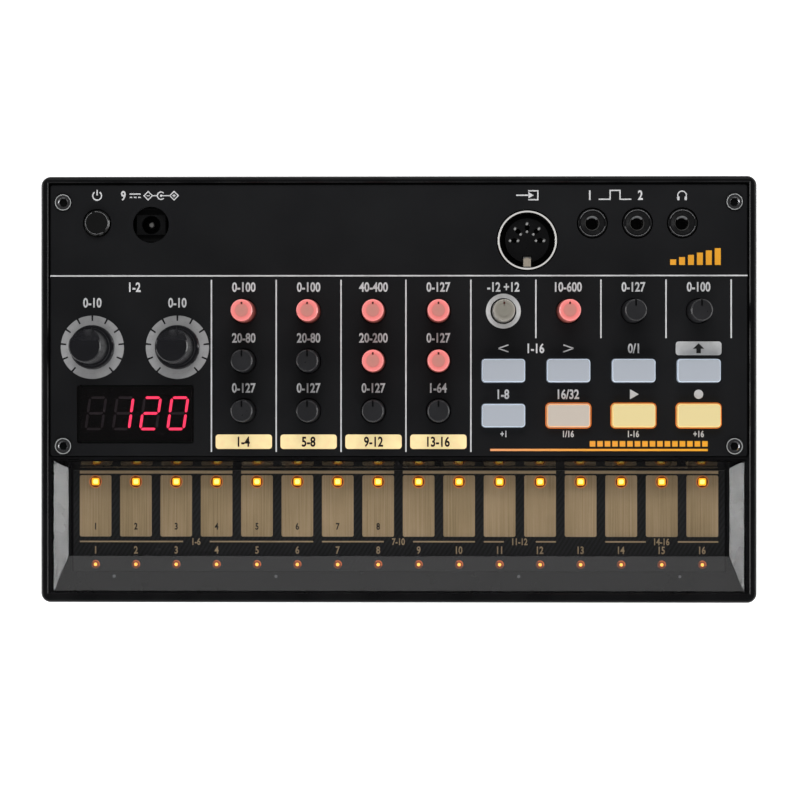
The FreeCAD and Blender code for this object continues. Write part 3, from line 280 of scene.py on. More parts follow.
def display_window():
    paint = see_through("display_window", (0.30, 0.24, 0.26), (0.5, 0.44, 0.46), 1.45, 0.05)
    paint.rough_range(0.03, 0.08, scale=150.0)
    return paint.material


def black_board():
    """Black board with a fine slanting hatch."""
    paint = Paint("black_board", (0.006, 0.006, 0.007), 0.5, specular=0.3)
    wave = paint.add("ShaderNodeTexWave", wave_type="BANDS", bands_direction="X")
    wave.inputs["Scale"].default_value = 300.0
    wave.inputs["Distortion"].default_value = 0.4
    paint.link(paint.coords(turn=math.radians(32.0)), wave.inputs["Vector"])
    stops = ((0.35, (0.004, 0.004, 0.004)), (0.65, (0.011, 0.011, 0.012)))
    paint.tint(paint.ramp(wave.outputs["Fac"], *stops))
    paint.rough_range(0.4, 0.6, scale=500.0)
    return paint.material


def pad_brass():
    """Dull brass with streaks that run from front to back."""
    paint = Paint("pad_brass", (0.33, 0.24, 0.13), 0.5, metal=0.35, specular=0.4)
    fine = paint.noise(230.0, detail=4.0, stretch=(11.0, 0.15, 1.0))
    broad = paint.noise(60.0, detail=2.0, stretch=(1.2, 0.7, 1.0))
    blend = paint.math("ADD", paint.math("MULTIPLY", fine, 0.6), paint.math("MULTIPLY", broad, 0.4))
    stops = ((0.36, (0.34, 0.25, 0.125)), (0.5, (0.44, 0.32, 0.175)), (0.64, (0.53, 0.39, 0.225)))
    paint.tint(paint.ramp(blend, *stops))
    paint.rough_range(0.45, 0.6, scale=600.0)
    return paint.material


def board_green():
    paint = Paint("board_green", (0.02, 0.09, 0.04), 0.4)
    paint.mottle((0.015, 0.075, 0.032), (0.03, 0.11, 0.05), scale=160.0)
    paint.bump(900.0, strength=0.2)
    return paint.material


def moulded(name, colour, rough=0.45, specular=0.4, grain=0.25):
    """Plain moulded plastic, rubber or paper with a slight mottle."""
    paint = Paint(name, colour, rough, specular=specular)
    paint.mottle(shade(colour, 0.85), shade(colour, 1.15), scale=140.0)
    paint.rough_range(rough * 0.85, rough * 1.15, 800.0)
    if grain:
        paint.bump(2500.0, grain)
    return paint.material


def metal(name, colour, rough, scale=300.0, stretch=(1.0, 1.0, 1.0), shine=0.0):
    paint = Paint(name, colour, rough, metal=1.0)
    paint.glow(colour, shine)
    paint.mottle(shade(colour, 0.94), colour, scale, stretch)
    paint.rough_range(rough * 0.9, rough * 1.1, 500.0)
    return paint.material


def lit_knob():
    """Pink plastic lit from inside: paler in the dimple, brightest round the top, with painted shade at
    its foot and on its upright sides.
    """
    paint = Paint("lit_knob", (0.72, 0.20, 0.18), 0.3, specular=0.4)
    # The last stops darken the foot of the knob: painted shade.
    stops = ((0.0, (0.44, 0.19, 0.16)), (0.50, (0.50, 0.19, 0.165)), (0.62, (0.74, 0.20, 0.19)),
             (0.88, (0.78, 0.22, 0.21)), (0.93, (0.55, 0.15, 0.13)), (1.0, (0.24, 0.06, 0.05)))
    paint.tint(paint.ramp(paint.radius(), *stops), glowing=True)
    # Painted shade: the knob's own light falls off on its upright sides.
    paint.link(paint.remap(paint.slope(), 0.5, 1.0, 0.40, 0.06), paint.shader.inputs["Emission Strength"])
    paint.set("Coat Weight", 0.3)
    return paint.material


def clear_knob():
    paint = Paint("clear_knob", (0.28, 0.26, 0.22), 0.3, specular=0.4)
    # Darker where the radius reaches 1, at the knob's foot and sides: painted shade.
    stops = ((0.0, (0.26, 0.25, 0.21)), (0.6, (0.30, 0.28, 0.24)), (0.9, (0.33, 0.31, 0.27)),
             (1.0, (0.12, 0.115, 0.10)))
    paint.tint(paint.ramp(paint.radius(), *stops))
    paint.set("Coat Weight", 0.3)
    return paint.material


def button_rubber(name, face, rim, strength):
    """Translucent rubber: the rounded edge shows more light than the flat face. On the unlit grey buttons
    this glow is painted light, and the pale edge a painted highlight.
    """
    paint = Paint(name, face, 0.55, specular=0.25)
    edge = paint.remap(paint.slope(), 0.02, 0.35, 0.0, 1.0)
    paint.tint(paint.ramp(edge, (0.0, face), (0.6, rim), (1.0, rim)), glowing=True)
    paint.set("Emission Strength", strength)
    paint.rough_range(0.5, 0.65, scale=400.0)
    return paint.material


def light(name, colour, strength, rough=0.4):
    paint = Paint(name, colour, rough)
    core = paint.noise(900.0, 1.0)
    paint.tint(paint.ramp(core, (0.3, shade(colour, 0.85)), (0.6, colour)), glowing=True)
    paint.set("Emission Strength", strength)
    return paint.material


def ink(name, colour, rough=0.5, shine=0.0):
    paint = Paint(name, colour, rough, specular=0.3)
    paint.glow(colour, shine)
    paint.mottle(shade(colour, 0.88), colour, scale=500.0)
    return paint.material


def polish(name, colour, rough, glow_colour, strength):
    """Bare metal small enough to need a little light of its own to show its glint."""
    paint = Paint(name, colour, rough, metal=1.0)
    paint.glow(glow_colour, strength)
    return paint.material


MATERIALS = {
    "case_plastic": case_plastic(),
    "panel_plastic": panel_plastic(),
    "smoked_window": smoked_window(),
    "display_window": display_window(),
    "black_board": black_board(),
    "pad_brass": pad_brass(),
    "amber_light": light("amber_lens", (0.22, 0.045, 0.006), 0.16),
    "green_board": board_green(),
    "pot_plastic": moulded("pot_plastic", (0.03, 0.03, 0.035)),
    "black_part": moulded("socket_plastic", (0.0075, 0.0075, 0.008), rough=0.3, specular=0.15, grain=0.05),
    "bright_metal": metal("bright_metal", (0.80, 0.79, 0.76), 0.3),
    "chip_light": light("chip_light", (0.9, 0.75, 0.5), 0.4),
    "plain_steel": metal("plain_steel", (0.5, 0.5, 0.5), 0.35, 400.0, (1.0, 6.0, 1.0)),
    "speaker_paper": moulded("speaker_paper", (0.02, 0.02, 0.02), rough=0.8),
    "magnet_grey": metal("magnet_grey", (0.09, 0.09, 0.095), 0.6),
    "cell_wrap": moulded("cell_wrap", (0.05, 0.16, 0.12), rough=0.3),
    "foot_rubber": moulded("foot_rubber", (0.018, 0.018, 0.018), rough=0.85, specular=0.2),
    "black_steel": metal("black_steel", (0.30, 0.30, 0.31), 0.2),
    "power_plastic": moulded("power_plastic", (0.006, 0.006, 0.006), rough=0.18, specular=0.5, grain=0.0),
    "lit_knob": lit_knob(),
    "black_knob": moulded("black_knob", (0.022, 0.022, 0.024), rough=0.32, specular=0.5, grain=0.1),
    "clear_knob": clear_knob(),
    "large_knob": moulded("large_knob", (0.010, 0.010, 0.012), rough=0.22, specular=0.5, grain=0.05),
    # The grey buttons are not lit: their glow is painted light and their pale rim a painted highlight.
    "button_grey": button_rubber("button_grey", (0.41, 0.44, 0.49), (0.62, 0.72, 0.84), 0.17),
    "button_beige": button_rubber("button_beige", (0.50, 0.44, 0.38), (1.0, 0.50, 0.22), 0.30),
    "button_lit": button_rubber("button_lit", (0.70, 0.58, 0.29), (1.0, 0.66, 0.24), 0.30),
}


def dress_frame():
    slots = {entry["node"]: entry["material_slot"] for entry in frame["record"]["subparts"]}
    for name, part in nodes.items():
        part.data.materials.clear()
        part.data.materials.append(MATERIALS[slots[name]])


# Meshes

def mesh_piece(name, parts):
    """One mesh object from (points, faces) parts in millimetres, with its normals outward."""
    points = []
    faces = []
    for part_points, part_faces in parts:
        start = len(points)
        points += [tuple(c * MM for c in point) for point in part_points]
        faces += [tuple(start + i for i in face) for face in part_faces]
    mesh = bpy.data.meshes.new(name)
    mesh.from_pydata(points, [], faces)
    work = bmesh.new()
    work.from_mesh(mesh)
    bmesh.ops.recalc_face_normals(work, faces=work.faces)
    work.to_mesh(mesh)
    work.free()
    piece = bpy.data.objects.new(name, mesh)
    bpy.context.scene.collection.objects.link(piece)
    return piece


def add_piece(name, parts, material, body=CASE):
    piece = mesh_piece(name, parts)
    piece.data.materials.append(material)
    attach(piece, body)


def slab(outline, low, high):
    """A flat piece with upright sides over a closed outline of (x, y) points."""
    count = len(outline)
    points = [(x, y, low) for x, y in outline] + [(x, y, high) for x, y in outline]
    faces = [tuple(range(count - 1, -1, -1)), tuple(range(count, 2 * count))]
    for i in range(count):
        following = (i + 1) % count
        faces.append((i, following, count + following, count + i))
    return points, faces


def bar(x0, x1, y0, y1):
    return [(x0, y0), (x1, y0), (x1, y1), (x0, y1)]


def rounded(x, y, width, height, radius, steps=6):
    outline = []
    for sx, sy, start in ((1, 1, 0), (-1, 1, 90), (-1, -1, 180), (1, -1, 270)):
        cx = x + sx * (width / 2 - radius)
        cy = y + sy * (height / 2 - radius)
        for i in range(steps + 1):
            turn = math.radians(start + 90 * i / steps)
            outline.append((cx + radius * math.cos(turn), cy + radius * math.sin(turn)))
    return outline


def disc(x, y, radius, steps=28):
    outline = []
    for i in range(steps):
        turn = 2 * math.pi * i / steps
        outline.append((x + radius * math.cos(turn), y + radius * math.sin(turn)))
    return outline


def arc_band(x, y, inner, outer, start, end, steps=24):
    """A curved band between two radii, from one angle to another in degrees."""
    turns = [math.radians(start + (end - start) * i / steps) for i in range(steps + 1)]
    near = [(x + inner * math.cos(t), y + inner * math.sin(t)) for t in turns]
    far = [(x + outer * math.cos(t), y + outer * math.sin(t)) for t in reversed(turns)]
    return near + far


def ring(x, y, inner, outer, steps=24):
    """A whole ring as two half bands that meet face to face."""
    return [arc_band(x, y, inner, outer, 0, 180, steps), arc_band(x, y, inner, outer, 180, 360, steps)]


def stroke(x0, y0, x1, y1, width):
    """A straight line of that width between two points."""
    length = math.hypot(x1 - x0, y1 - y0)
    nx = -(y1 - y0) / length * width / 2
    ny = (x1 - x0) / length * width / 2
    return [(x0 - nx, y0 - ny), (x1 - nx, y1 - ny), (x1 + nx, y1 + ny), (x0 + nx, y0 + ny)]


def figure_height():
    """How high a figure of Blender's own font stands at size 1."""
    curve = bpy.data.curves.new("measure", "FONT")
    curve.body = "1"
    holder = bpy.data.objects.new("measure", curve)
    bpy.context.scene.collection.objects.link(holder)
    bpy.context.view_layer.update()
    height = holder.dimensions.y
    bpy.data.objects.remove(holder)
    bpy.data.curves.remove(curve)
    return height


FIGURE_HEIGHT = figure_height()


def lettering(words, x, y, cap, low, high):
    """Points and faces of figures whose height is cap, centred on (x, y)."""
    curve = bpy.data.curves.new("figures", "FONT")
    curve.body = words
    curve.align_x = "CENTER"
    curve.resolution_u = 3
    curve.offset = BOLD
    holder = bpy.data.objects.new("figures", curve)
    bpy.context.scene.collection.objects.link(holder)
    bpy.context.view_layer.update()
    graph = bpy.context.evaluated_depsgraph_get()
    mesh = bpy.data.meshes.new_from_object(holder.evaluated_get(graph))
    xs = [v.co.x for v in mesh.vertices]
    middle = (max(xs) + min(xs)) / 2
    scale = cap / FIGURE_HEIGHT
    flat = [(x + (v.co.x - middle) * scale * SQUEEZE, y + v.co.y * scale - cap / 2) for v in mesh.vertices]
    count = len(flat)
    points = [(px, py, low) for px, py in flat] + [(px, py, high) for px, py in flat]
    faces = []
    edges = []
    for polygon in mesh.polygons:
        loop = list(polygon.vertices)
        faces.append(tuple(i + count for i in loop))
        faces.append(tuple(reversed(loop)))
        edges += zip(loop, loop[1:] + loop[:1])
    inner_edges = set(edges)
    for a, b in edges:
        if (b, a) not in inner_edges:
            faces.append((a, b, b + count, a + count))
    bpy.data.objects.remove(holder)
    bpy.data.curves.remove(curve)
    bpy.data.meshes.remove(mesh)
    return points, faces


INK_LOW = PANEL_TOP + INK_LIFT
INK_HIGH = PANEL_TOP + INK_T


def on_panel(outline, lift=0.0):
    return slab(outline, INK_LOW + lift, INK_HIGH + lift)


def panel_words(words, x, y, cap=CAP, lift=0.0):
    return lettering(words, x, y, cap, INK_LOW + lift, INK_HIGH + lift)


# Pictograms in grey ink, each drawn round its own middle

MARK_W = 0.34
STEM_W = 0.36
LEAD_W = 0.28
FINE_W = 0.24


def power_mark(x, y):
    """An open ring with a stem in its gap."""
    return [arc_band(x, y, 1.0, 1.35, 125, 415, 20), stroke(x, y + 0.1, x, y + 1.6, STEM_W)]


def polarity_mark(x, y):
    """A minus and a plus, joined to a plug seen end on: the plus to its middle pin."""
    reach = 3.5
    arm = 0.45
    shapes = []
    for sign_x in (x - reach, x + reach):
        shapes += ring(sign_x, y, 0.95, 1.35, 2)
        shapes.append(stroke(sign_x - arm, y, sign_x + arm, y, FINE_W))
    plus_x = x + reach
    shapes.append(stroke(plus_x, y + FINE_W / 2, plus_x, y + arm, FINE_W))
    shapes.append(stroke(plus_x, y - arm, plus_x, y - FINE_W / 2, FINE_W))
    shapes.append(arc_band(x, y, 0.85, 1.15, 45, 315, 16))
    shapes.append(stroke(x - 2.2, y, x - 1.15, y, LEAD_W))
    shapes.append(stroke(x + 0.35, y, x + 2.2, y, LEAD_W))
    shapes.append(disc(x, y, 0.34, 12))
    return shapes


def direct_current_mark(x, y):
    """A long line over three short ones."""
    half = 1.5
    rise = 0.45
    dash_pitch = 1.15
    dash_half = 0.35
    shapes = [stroke(x - half, y + rise, x + half, y + rise, MARK_W)]
    for dash_x in (x - dash_pitch, x, x + dash_pitch):
        shapes.append(stroke(dash_x - dash_half, y - rise, dash_x + dash_half, y - rise, MARK_W))
    return shapes


def inward_mark(x, y):
    """An arrow that points into an open box."""
    mouth = x + 0.2
    back = x + 3.0
    half = 1.2
    shapes = [stroke(x - 3.0, y, x + 0.4, y, STEM_W)]
    shapes.append([(x + 0.3, y + 0.85), (x + 1.7, y), (x + 0.3, y - 0.85)])
    shapes.append(stroke(mouth, y + half, back, y + half, MARK_W))
    shapes.append(stroke(mouth, y - half, back, y - half, MARK_W))
    wall_x = back - MARK_W / 2
    wall_half = half - MARK_W / 2
    shapes.append(stroke(wall_x, y - wall_half, wall_x, y + wall_half, MARK_W))
    return shapes


def pulse_mark(x, y):
    """One square pulse with its foot lines."""
    half = 1.1
    edge = MARK_W / 2
    flat = 1.5
    reach = 4.4
    rise_x = flat - edge
    top = y + half + edge
    foot = y - half
    shapes = [stroke(x - flat, top, x + flat, top, MARK_W)]
    for way in (-1, 1):
        shapes.append(stroke(x + way * flat, foot, x + way * reach, foot, MARK_W))
        shapes.append(stroke(x + way * rise_x, foot - edge, x + way * rise_x, y + half, MARK_W))
    return shapes


def headphone_mark(x, y):
    """A band with two pads."""
    shapes = [arc_band(x, y - 0.1, 1.0, 1.3, -12, 192, 20)]
    for pad_x in (x - 1.0, x + 1.0):
        shapes.append(rounded(pad_x, y - 0.85, 0.62, 1.1, 0.25, 3))
    return shapes


def chevron(x, y, way):
    """Two strokes that meet in a tip, which points left where way is 1."""
    half = 0.95
    reach = 1.35
    tip = x - way * reach
    end = x + way * reach
    return [stroke(tip, y, end, y + half, MARK_W), stroke(tip, y, end, y - half, MARK_W)]


# Printed marks on the panel

def panel_lines():
    half = LINE_W / 2
    parts = [on_panel(bar(-TOP_LINE_REACH, TOP_LINE_REACH, TOP_LINE_Y - half, TOP_LINE_Y + half))]
    for i in range(LONG_DIVIDERS + SHORT_DIVIDERS):
        x = FIRST_DIVIDER + i * COLUMN_PITCH
        end = LONG_DIVIDER_END if i < LONG_DIVIDERS else SHORT_DIVIDER_END
        parts.append(on_panel(bar(x - half, x + half, end, DIVIDER_TOP)))
    return parts


def knob_labels():
    """Plain ranges of numbers, column by column from the left."""
    words = (("0-100", "20-80", "0-127"), ("0-100", "20-80", "0-127"), ("40-400", "20-200", "0-127"),
             ("0-127", "0-127", "1-64"), ("-12 +12",), ("10-600",), ("0-127",), ("0-100",))
    parts = []
    for column, column_words in enumerate(words):
        for word, y in zip(column_words, LABEL_ROWS):
            parts.append(panel_words(word, column_x(column), y))
    parts.append(panel_words("1-2", sum(DIAL_X) / len(DIAL_X), LABEL_ROWS[0]))
    for x in DIAL_X:
        parts.append(panel_words("0-10", x, DIAL_LABEL_Y))
    return parts


def button_labels():
    columns = [column_x(column) for column in BUTTON_COLUMNS]
    above, between, below = BUTTON_LABEL_ROWS
    back = columns[2] - 0.95
    tip = columns[2] + 1.45
    half = 1.35
    record_r = 1.25
    shapes = chevron(columns[0], above, 1) + chevron(columns[1], above, -1)
    shapes.append([(back, between + half), (tip, between), (back, between - half)])
    shapes.append(disc(columns[3], between, record_r))
    parts = [on_panel(shape) for shape in shapes]
    parts.append(panel_words("1-16", (columns[0] + columns[1]) / 2, above))
    parts.append(panel_words("0/1", columns[2], above))
    parts.append(panel_words("1-8", columns[0], between))
    parts.append(panel_words("16/32", columns[1], between))
    for x, word in zip(columns, ("+1", "1/16", "1-16", "+16")):
        parts.append(panel_words(word, x, below, SMALL_CAP))
    return parts


SOCKET_LABEL_Y = 52.3
SOCKET_MARKS = ((power_mark, -81.3), (direct_current_mark, -71.0), (polarity_mark, -64.0),
                (inward_mark, 34.8), (pulse_mark, 58.4), (headphone_mark, 76.4))
SOCKET_FIGURES = (("9", -74.2), ("1", 51.6), ("2", 65.2))


def socket_labels():
    y = SOCKET_LABEL_Y
    parts = [on_panel(shape) for mark, x in SOCKET_MARKS for shape in mark(x, y)]
    for word, x in SOCKET_FIGURES:
        parts.append(panel_words(word, x, y))
    return parts


def dial_rings():
    """A grey ring round each large knob, with a notched outer band."""
    parts = []
    step = DIAL_SWEEP / (DIAL_TICKS - 1)
    middle = DIAL_OUTER - DIAL_TICK
    gap = math.degrees(DIAL_TICK_W / 2 / (DIAL_OUTER - DIAL_TICK / 2))
    first = 90 + DIAL_SWEEP / 2
    foot = (360 - DIAL_SWEEP) / 2 - gap
    for x in DIAL_X:
        bands = ring(x, DIAL_Y, DIAL_INNER, middle)
        for i in range(DIAL_TICKS - 1):
            start = first - i * step - gap
            bands.append(arc_band(x, DIAL_Y, middle, DIAL_OUTER, start - step + 2 * gap, start, 8))
        bands.append(arc_band(x, DIAL_Y, middle, DIAL_OUTER, 270 - foot, 270 + foot, 16))
        parts += [on_panel(band) for band in bands]
    return parts


def speed_ring():
    x, y, _ = centre("small_knob_5_1")
    return [on_panel(half) for half in ring(x, y, SPEED_RING_INNER, SPEED_RING_OUTER)]


def grey_prints():
    marks = panel_lines() + knob_labels() + button_labels() + socket_labels()
    add_piece("grey_print", marks, ink("grey_ink", (0.78, 0.78, 0.79)))
    add_piece("dial_print", dial_rings(), ink("dial_ink", (0.40, 0.40, 0.405)))
    add_piece("ring_print", speed_ring(), ink("ring_ink", (0.66, 0.66, 0.66)))


def badge_print():
    """Cream badges under the knob columns, with the steps that each stands for."""
    badges = []
    figures = []
    for i in BADGE_COLUMNS:
        x = column_x(i)
        badges.append(on_panel(rounded(x, BADGE_Y, BADGE_W, BADGE_H, BADGE_R)))
        figures.append(panel_words("%d-%d" % (4 * i + 1, 4 * i + 4), x, BADGE_Y, BADGE_CAP, INK_T))
    # The cream ink has a little painted light of its own, to brighten the badges.
    add_piece("cream_badges", badges, ink("cream_ink", (1.0, 0.80, 0.42), shine=0.28))
    add_piece("badge_figures", figures, ink("dark_ink", (0.012, 0.011, 0.010)))


SHIFT_W = 12.3
SHIFT_H = 3.7


def shift_badge():
    """A grey badge over the last button, with an upward arrow."""
    x = column_x(BUTTON_COLUMNS[-1])
    y = BUTTON_LABEL_ROWS[0]
    plate = on_panel(rounded(x, y, SHIFT_W, SHIFT_H, BADGE_R))
    add_piece("grey_badge", [plate], ink("badge_ink", (0.66, 0.665, 0.67)))
    head_y = y - 0.1
    arrow = [(x - 1.5, head_y), (x + 1.5, head_y), (x, y + 1.35)]
    stem = bar(x - 0.6, x + 0.6, y - 1.3, head_y)
    marks = [on_panel(arrow, INK_T), on_panel(stem, INK_T)]
    add_piece("badge_arrow", marks, ink("arrow_ink", (0.02, 0.02, 0.02)))


def orange_ink():
    """Paler towards the left end of the long line."""
    paint = Paint("orange_ink", (0.95, 0.42, 0.035), 0.5, specular=0.3)
    split = paint.add("ShaderNodeSeparateXYZ")
    paint.link(paint.coords(), split.inputs["Vector"])
    reach = paint.remap(split.outputs["X"], 0.025, 0.083, 0.0, 1.0)
    stops = ((0.0, (1.0, 0.42, 0.18)), (0.45, (1.0, 0.43, 0.06)), (1.0, (1.0, 0.45, 0.035)))
    paint.tint(paint.ramp(reach, *stops))
    return paint.material


ORANGE_LEFT = 24.8
ORANGE_RIGHT = 83.3
ORANGE_LINE = (-16.6, -16.0)
SQUARES = 16
SQUARE = 1.5
SQUARES_LEFT = 51.6
SQUARES_Y = -15.4
RISING_BARS = 6
RISING_X = 73.2
RISING_PITCH = 2.4
RISING_W = 1.6
RISING_Y = 33.5
RISING_FIRST = 1.5
RISING_STEP = 0.6


def orange_print():
    """A long line, a row of squares over its right end, and six rising bars in the top corner."""
    parts = [on_panel(bar(ORANGE_LEFT, ORANGE_RIGHT, *ORANGE_LINE))]
    pitch = (ORANGE_RIGHT - SQUARE - SQUARES_LEFT) / (SQUARES - 1)
    for i in range(SQUARES):
        x = SQUARES_LEFT + i * pitch
        parts.append(on_panel(bar(x, x + SQUARE, SQUARES_Y, SQUARES_Y + SQUARE)))
    for i in range(RISING_BARS):
        x = RISING_X + i * RISING_PITCH
        height = RISING_FIRST + i * RISING_STEP
        parts.append(on_panel(bar(x, x + RISING_W, RISING_Y, RISING_Y + height)))
    add_piece("orange_print", parts, orange_ink())


# Prints on the touch board and the pads

STEPS = 16
STEP_PITCH = 11.0
PAD_LOW, PAD_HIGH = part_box("touch_pads")
PAD_BACK = PAD_HIGH[1] / MM
PAD_FRONT = PAD_LOW[1] / MM
PAD_W = 8.6
BOARD_INK_LOW = BOARD_TOP + INK_LIFT
BOARD_INK_HIGH = BOARD_TOP + 0.06
PAD_INK_LOW = PAD_TOP + INK_LIFT
BACK_BARS = (0.45, 1.25)
GROUP_LINE = 1.35
GROUP_LINE_W = 0.4
GROUP_CAP = 1.7
GROUP_GAP = 2.6
GROUP_GAP_EACH = 0.35
STEP_NUMBERS = 3.65
STEP_CAP = 1.9
PAD_NUMBERS = 2.8
GROUPS = ((0, 5, "1-6"), (6, 9, "7-10"), (10, 11, "11-12"), (13, 15, "14-16"))


def step_x(i):
    return (i - (STEPS - 1) / 2) * STEP_PITCH


def on_board(outline):
    return slab(outline, BOARD_INK_LOW, BOARD_INK_HIGH)


def board_print():
    """Short bars behind the pads, lines with numbers in them in front, and the number of each step."""
    parts = []
    for first in range(0, STEPS, 4):
        x0 = step_x(first) - PAD_W / 2
        x1 = step_x(first + 3) + PAD_W / 2
        parts.append(on_board(bar(x0, x1, *(PAD_BACK + reach for reach in BACK_BARS))))
    y = PAD_FRONT - GROUP_LINE
    edge = GROUP_LINE_W / 2
    for first, last, words in GROUPS:
        x0 = step_x(first) - PAD_W / 2
        x1 = step_x(last) + PAD_W / 2
        middle = (x0 + x1) / 2
        gap = GROUP_GAP + GROUP_GAP_EACH * len(words)
        parts.append(on_board(bar(x0, middle - gap, y - edge, y + edge)))
        parts.append(on_board(bar(middle + gap, x1, y - edge, y + edge)))
        parts.append(lettering(words, middle, y, GROUP_CAP, BOARD_INK_LOW, BOARD_INK_HIGH))
    y = PAD_FRONT - STEP_NUMBERS
    for i in range(STEPS):
        parts.append(lettering(str(i + 1), step_x(i), y, STEP_CAP, BOARD_INK_LOW, BOARD_INK_HIGH))
    add_piece("board_print", parts, ink("board_ink", (0.40, 0.30, 0.17)))


def pad_figures():
    """Numbers on the first eight pads."""
    y = PAD_FRONT + PAD_NUMBERS
    parts = []
    for i in range(STEPS // 2):
        parts.append(lettering(str(i + 1), step_x(i), y, GROUP_CAP, PAD_INK_LOW, PAD_TOP + INK_T))
    add_piece("pad_figures", parts, ink("pad_ink", (0.012, 0.010, 0.008)))


# Lights: width, length and corner of a die and its core, and how far each lies under the top of the pads
LIGHT_Y = PAD_BACK - 1.75
DIE = (2.05, 1.95, 0.4)
DIE_DEPTHS = (0.24, 0.1)
CORE = (1.25, 1.15, 0.35)
CORE_DEPTHS = (0.09, 0.04)
LIGHT_RING = (1.56, 1.69)
FRONT_LIGHT_Y = LIGHT_Y - 22.7
GLINT_R = 0.46
# Radii and turn, in degrees, of the painted highlight arc over each front light.
HIGHLIGHT_RADII = (0.85, 1.1)
HIGHLIGHT_TURN = (-20, 130)


def sunk(outline, depths):
    low, high = (PAD_TOP - depth for depth in depths)
    return slab(outline, low, high)


def step_lights():
    """The glowing dies in the pads' lights, a broad one and a bright core, and a thin ring of painted
    light round each on the pad.
    """
    dies = []
    cores = []
    rings = []
    for i in range(STEPS):
        x = step_x(i)
        dies.append(sunk(rounded(x, LIGHT_Y, *DIE, 4), DIE_DEPTHS))
        cores.append(sunk(rounded(x, LIGHT_Y, *CORE, 4), CORE_DEPTHS))
        # The ring is painted light: the lights' glow on the pad round the edge of its hole.
        rings += [slab(half, PAD_INK_LOW, PAD_TOP + 0.05) for half in ring(x, LIGHT_Y, *LIGHT_RING, 16)]
    add_piece("light_dies", dies, light("die_light", (1.0, 0.44, 0.012), 1.2))
    add_piece("light_cores", cores, light("core_light", (1.0, 0.86, 0.20), 1.5))
    add_piece("light_rings", rings, light("ring_light", (0.8, 0.22, 0.045), 0.6))


def front_lights():
    """A glint in each light along the front, with a painted highlight arc over part of it."""
    glints = []
    highlight_arcs = []
    for i in range(STEPS):
        x = step_x(i)
        glints.append(slab(disc(x, FRONT_LIGHT_Y, GLINT_R, 16), PAD_INK_LOW, PAD_TOP + 0.08))
        highlight_arc = arc_band(x, FRONT_LIGHT_Y, *HIGHLIGHT_RADII, *HIGHLIGHT_TURN, 14)
        highlight_arcs.append(slab(highlight_arc, PAD_INK_LOW, PAD_TOP + 0.06))
    add_piece("front_glints", glints, light("glint_light", (1.0, 0.44, 0.07), 1.6))
    add_piece("front_highlight_arcs", highlight_arcs, light("painted_arc_highlight", (0.7, 0.15, 0.03), 0.4))


# Small marks of the tray and painted highlights along its edges

TRAY_BOX = frame["record"]["physics"]["openings"][0]["box_m"]
TRAY_CLEAR = 0.1
FLOOR_X = TRAY_BOX[1][0] / MM + TRAY_CLEAR
FLOOR_BACK = TRAY_BOX[1][1] / MM + TRAY_CLEAR
FLOOR_FRONT = TRAY_BOX[0][1] / MM - TRAY_CLEAR
TRAY_FLOOR = TRAY_BOX[0][2] / MM - TRAY_CLEAR
WINDOW_LOW, WINDOW_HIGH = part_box("touch_window")
WINDOW_T = 1.2
TRAY_LIP = 0.35
MOUTH_X = WINDOW_HIGH[0] / MM - TRAY_LIP
MOUTH_BACK = WINDOW_HIGH[1] / MM - TRAY_LIP
MOUTH_FRONT = WINDOW_LOW[1] / MM + TRAY_LIP
EJECTOR_X = (-77.4, -33.3, 32.7, 76.4)
EJECTOR_Y = -51.0
EJECTOR_R = 0.45
EDGE_W = 0.1
EDGE_RISE = 0.05
DIAGONAL = 0.7


def edge_strip(start, end, across):
    """A narrow bead from start to end, with its width along the level direction across."""
    points = []
    for x, y, z in (start, end):
        for shift in (-EDGE_W / 2, EDGE_W / 2):
            for rise in (-EDGE_RISE / 2, EDGE_RISE):
                points.append((x + shift * across[0], y + shift * across[1], z + rise))
    faces = [(0, 1, 3, 2), (4, 6, 7, 5), (0, 4, 5, 1), (2, 3, 7, 6), (0, 2, 6, 4), (1, 5, 7, 3)]
    return points, faces


def tray_edge_highlights():
    """Painted highlights: thin bright beads up the corners of the tray and along the foot of its side
    slopes.
    """
    strips = []
    for side in (-1, 1):
        foot_x = side * FLOOR_X
        for y0, y1 in ((FLOOR_FRONT, MOUTH_FRONT), (FLOOR_BACK, MOUTH_BACK)):
            start = (foot_x, y0, TRAY_FLOOR)
            end = (side * MOUTH_X, y1, PANEL_TOP - EDGE_RISE)
            lean = DIAGONAL if side * (y1 - y0) < 0 else -DIAGONAL
            strips.append(edge_strip(start, end, (DIAGONAL, lean)))
        front = (foot_x, FLOOR_FRONT, TRAY_FLOOR)
        back = (foot_x, FLOOR_BACK, TRAY_FLOOR)
        strips.append(edge_strip(front, back, (1.0, 0.0)))
    add_piece("tray_edge_highlights", strips, ink("edge_highlight_ink", (0.22, 0.22, 0.23), 0.2))


def ejector_marks():
    """Small round marks left by the mould on the underside of the tray's floor."""
    level = TRAY_FLOOR - WINDOW_T
    parts = [slab(disc(x, EJECTOR_Y, EJECTOR_R, 16), level + INK_LIFT, level + INK_T) for x in EJECTOR_X]
    add_piece("ejector_marks", parts, ink("ejector_ink", (0.14, 0.14, 0.145)))


# Small bright and dark parts of sockets and screws, most of them painted highlights and painted shade

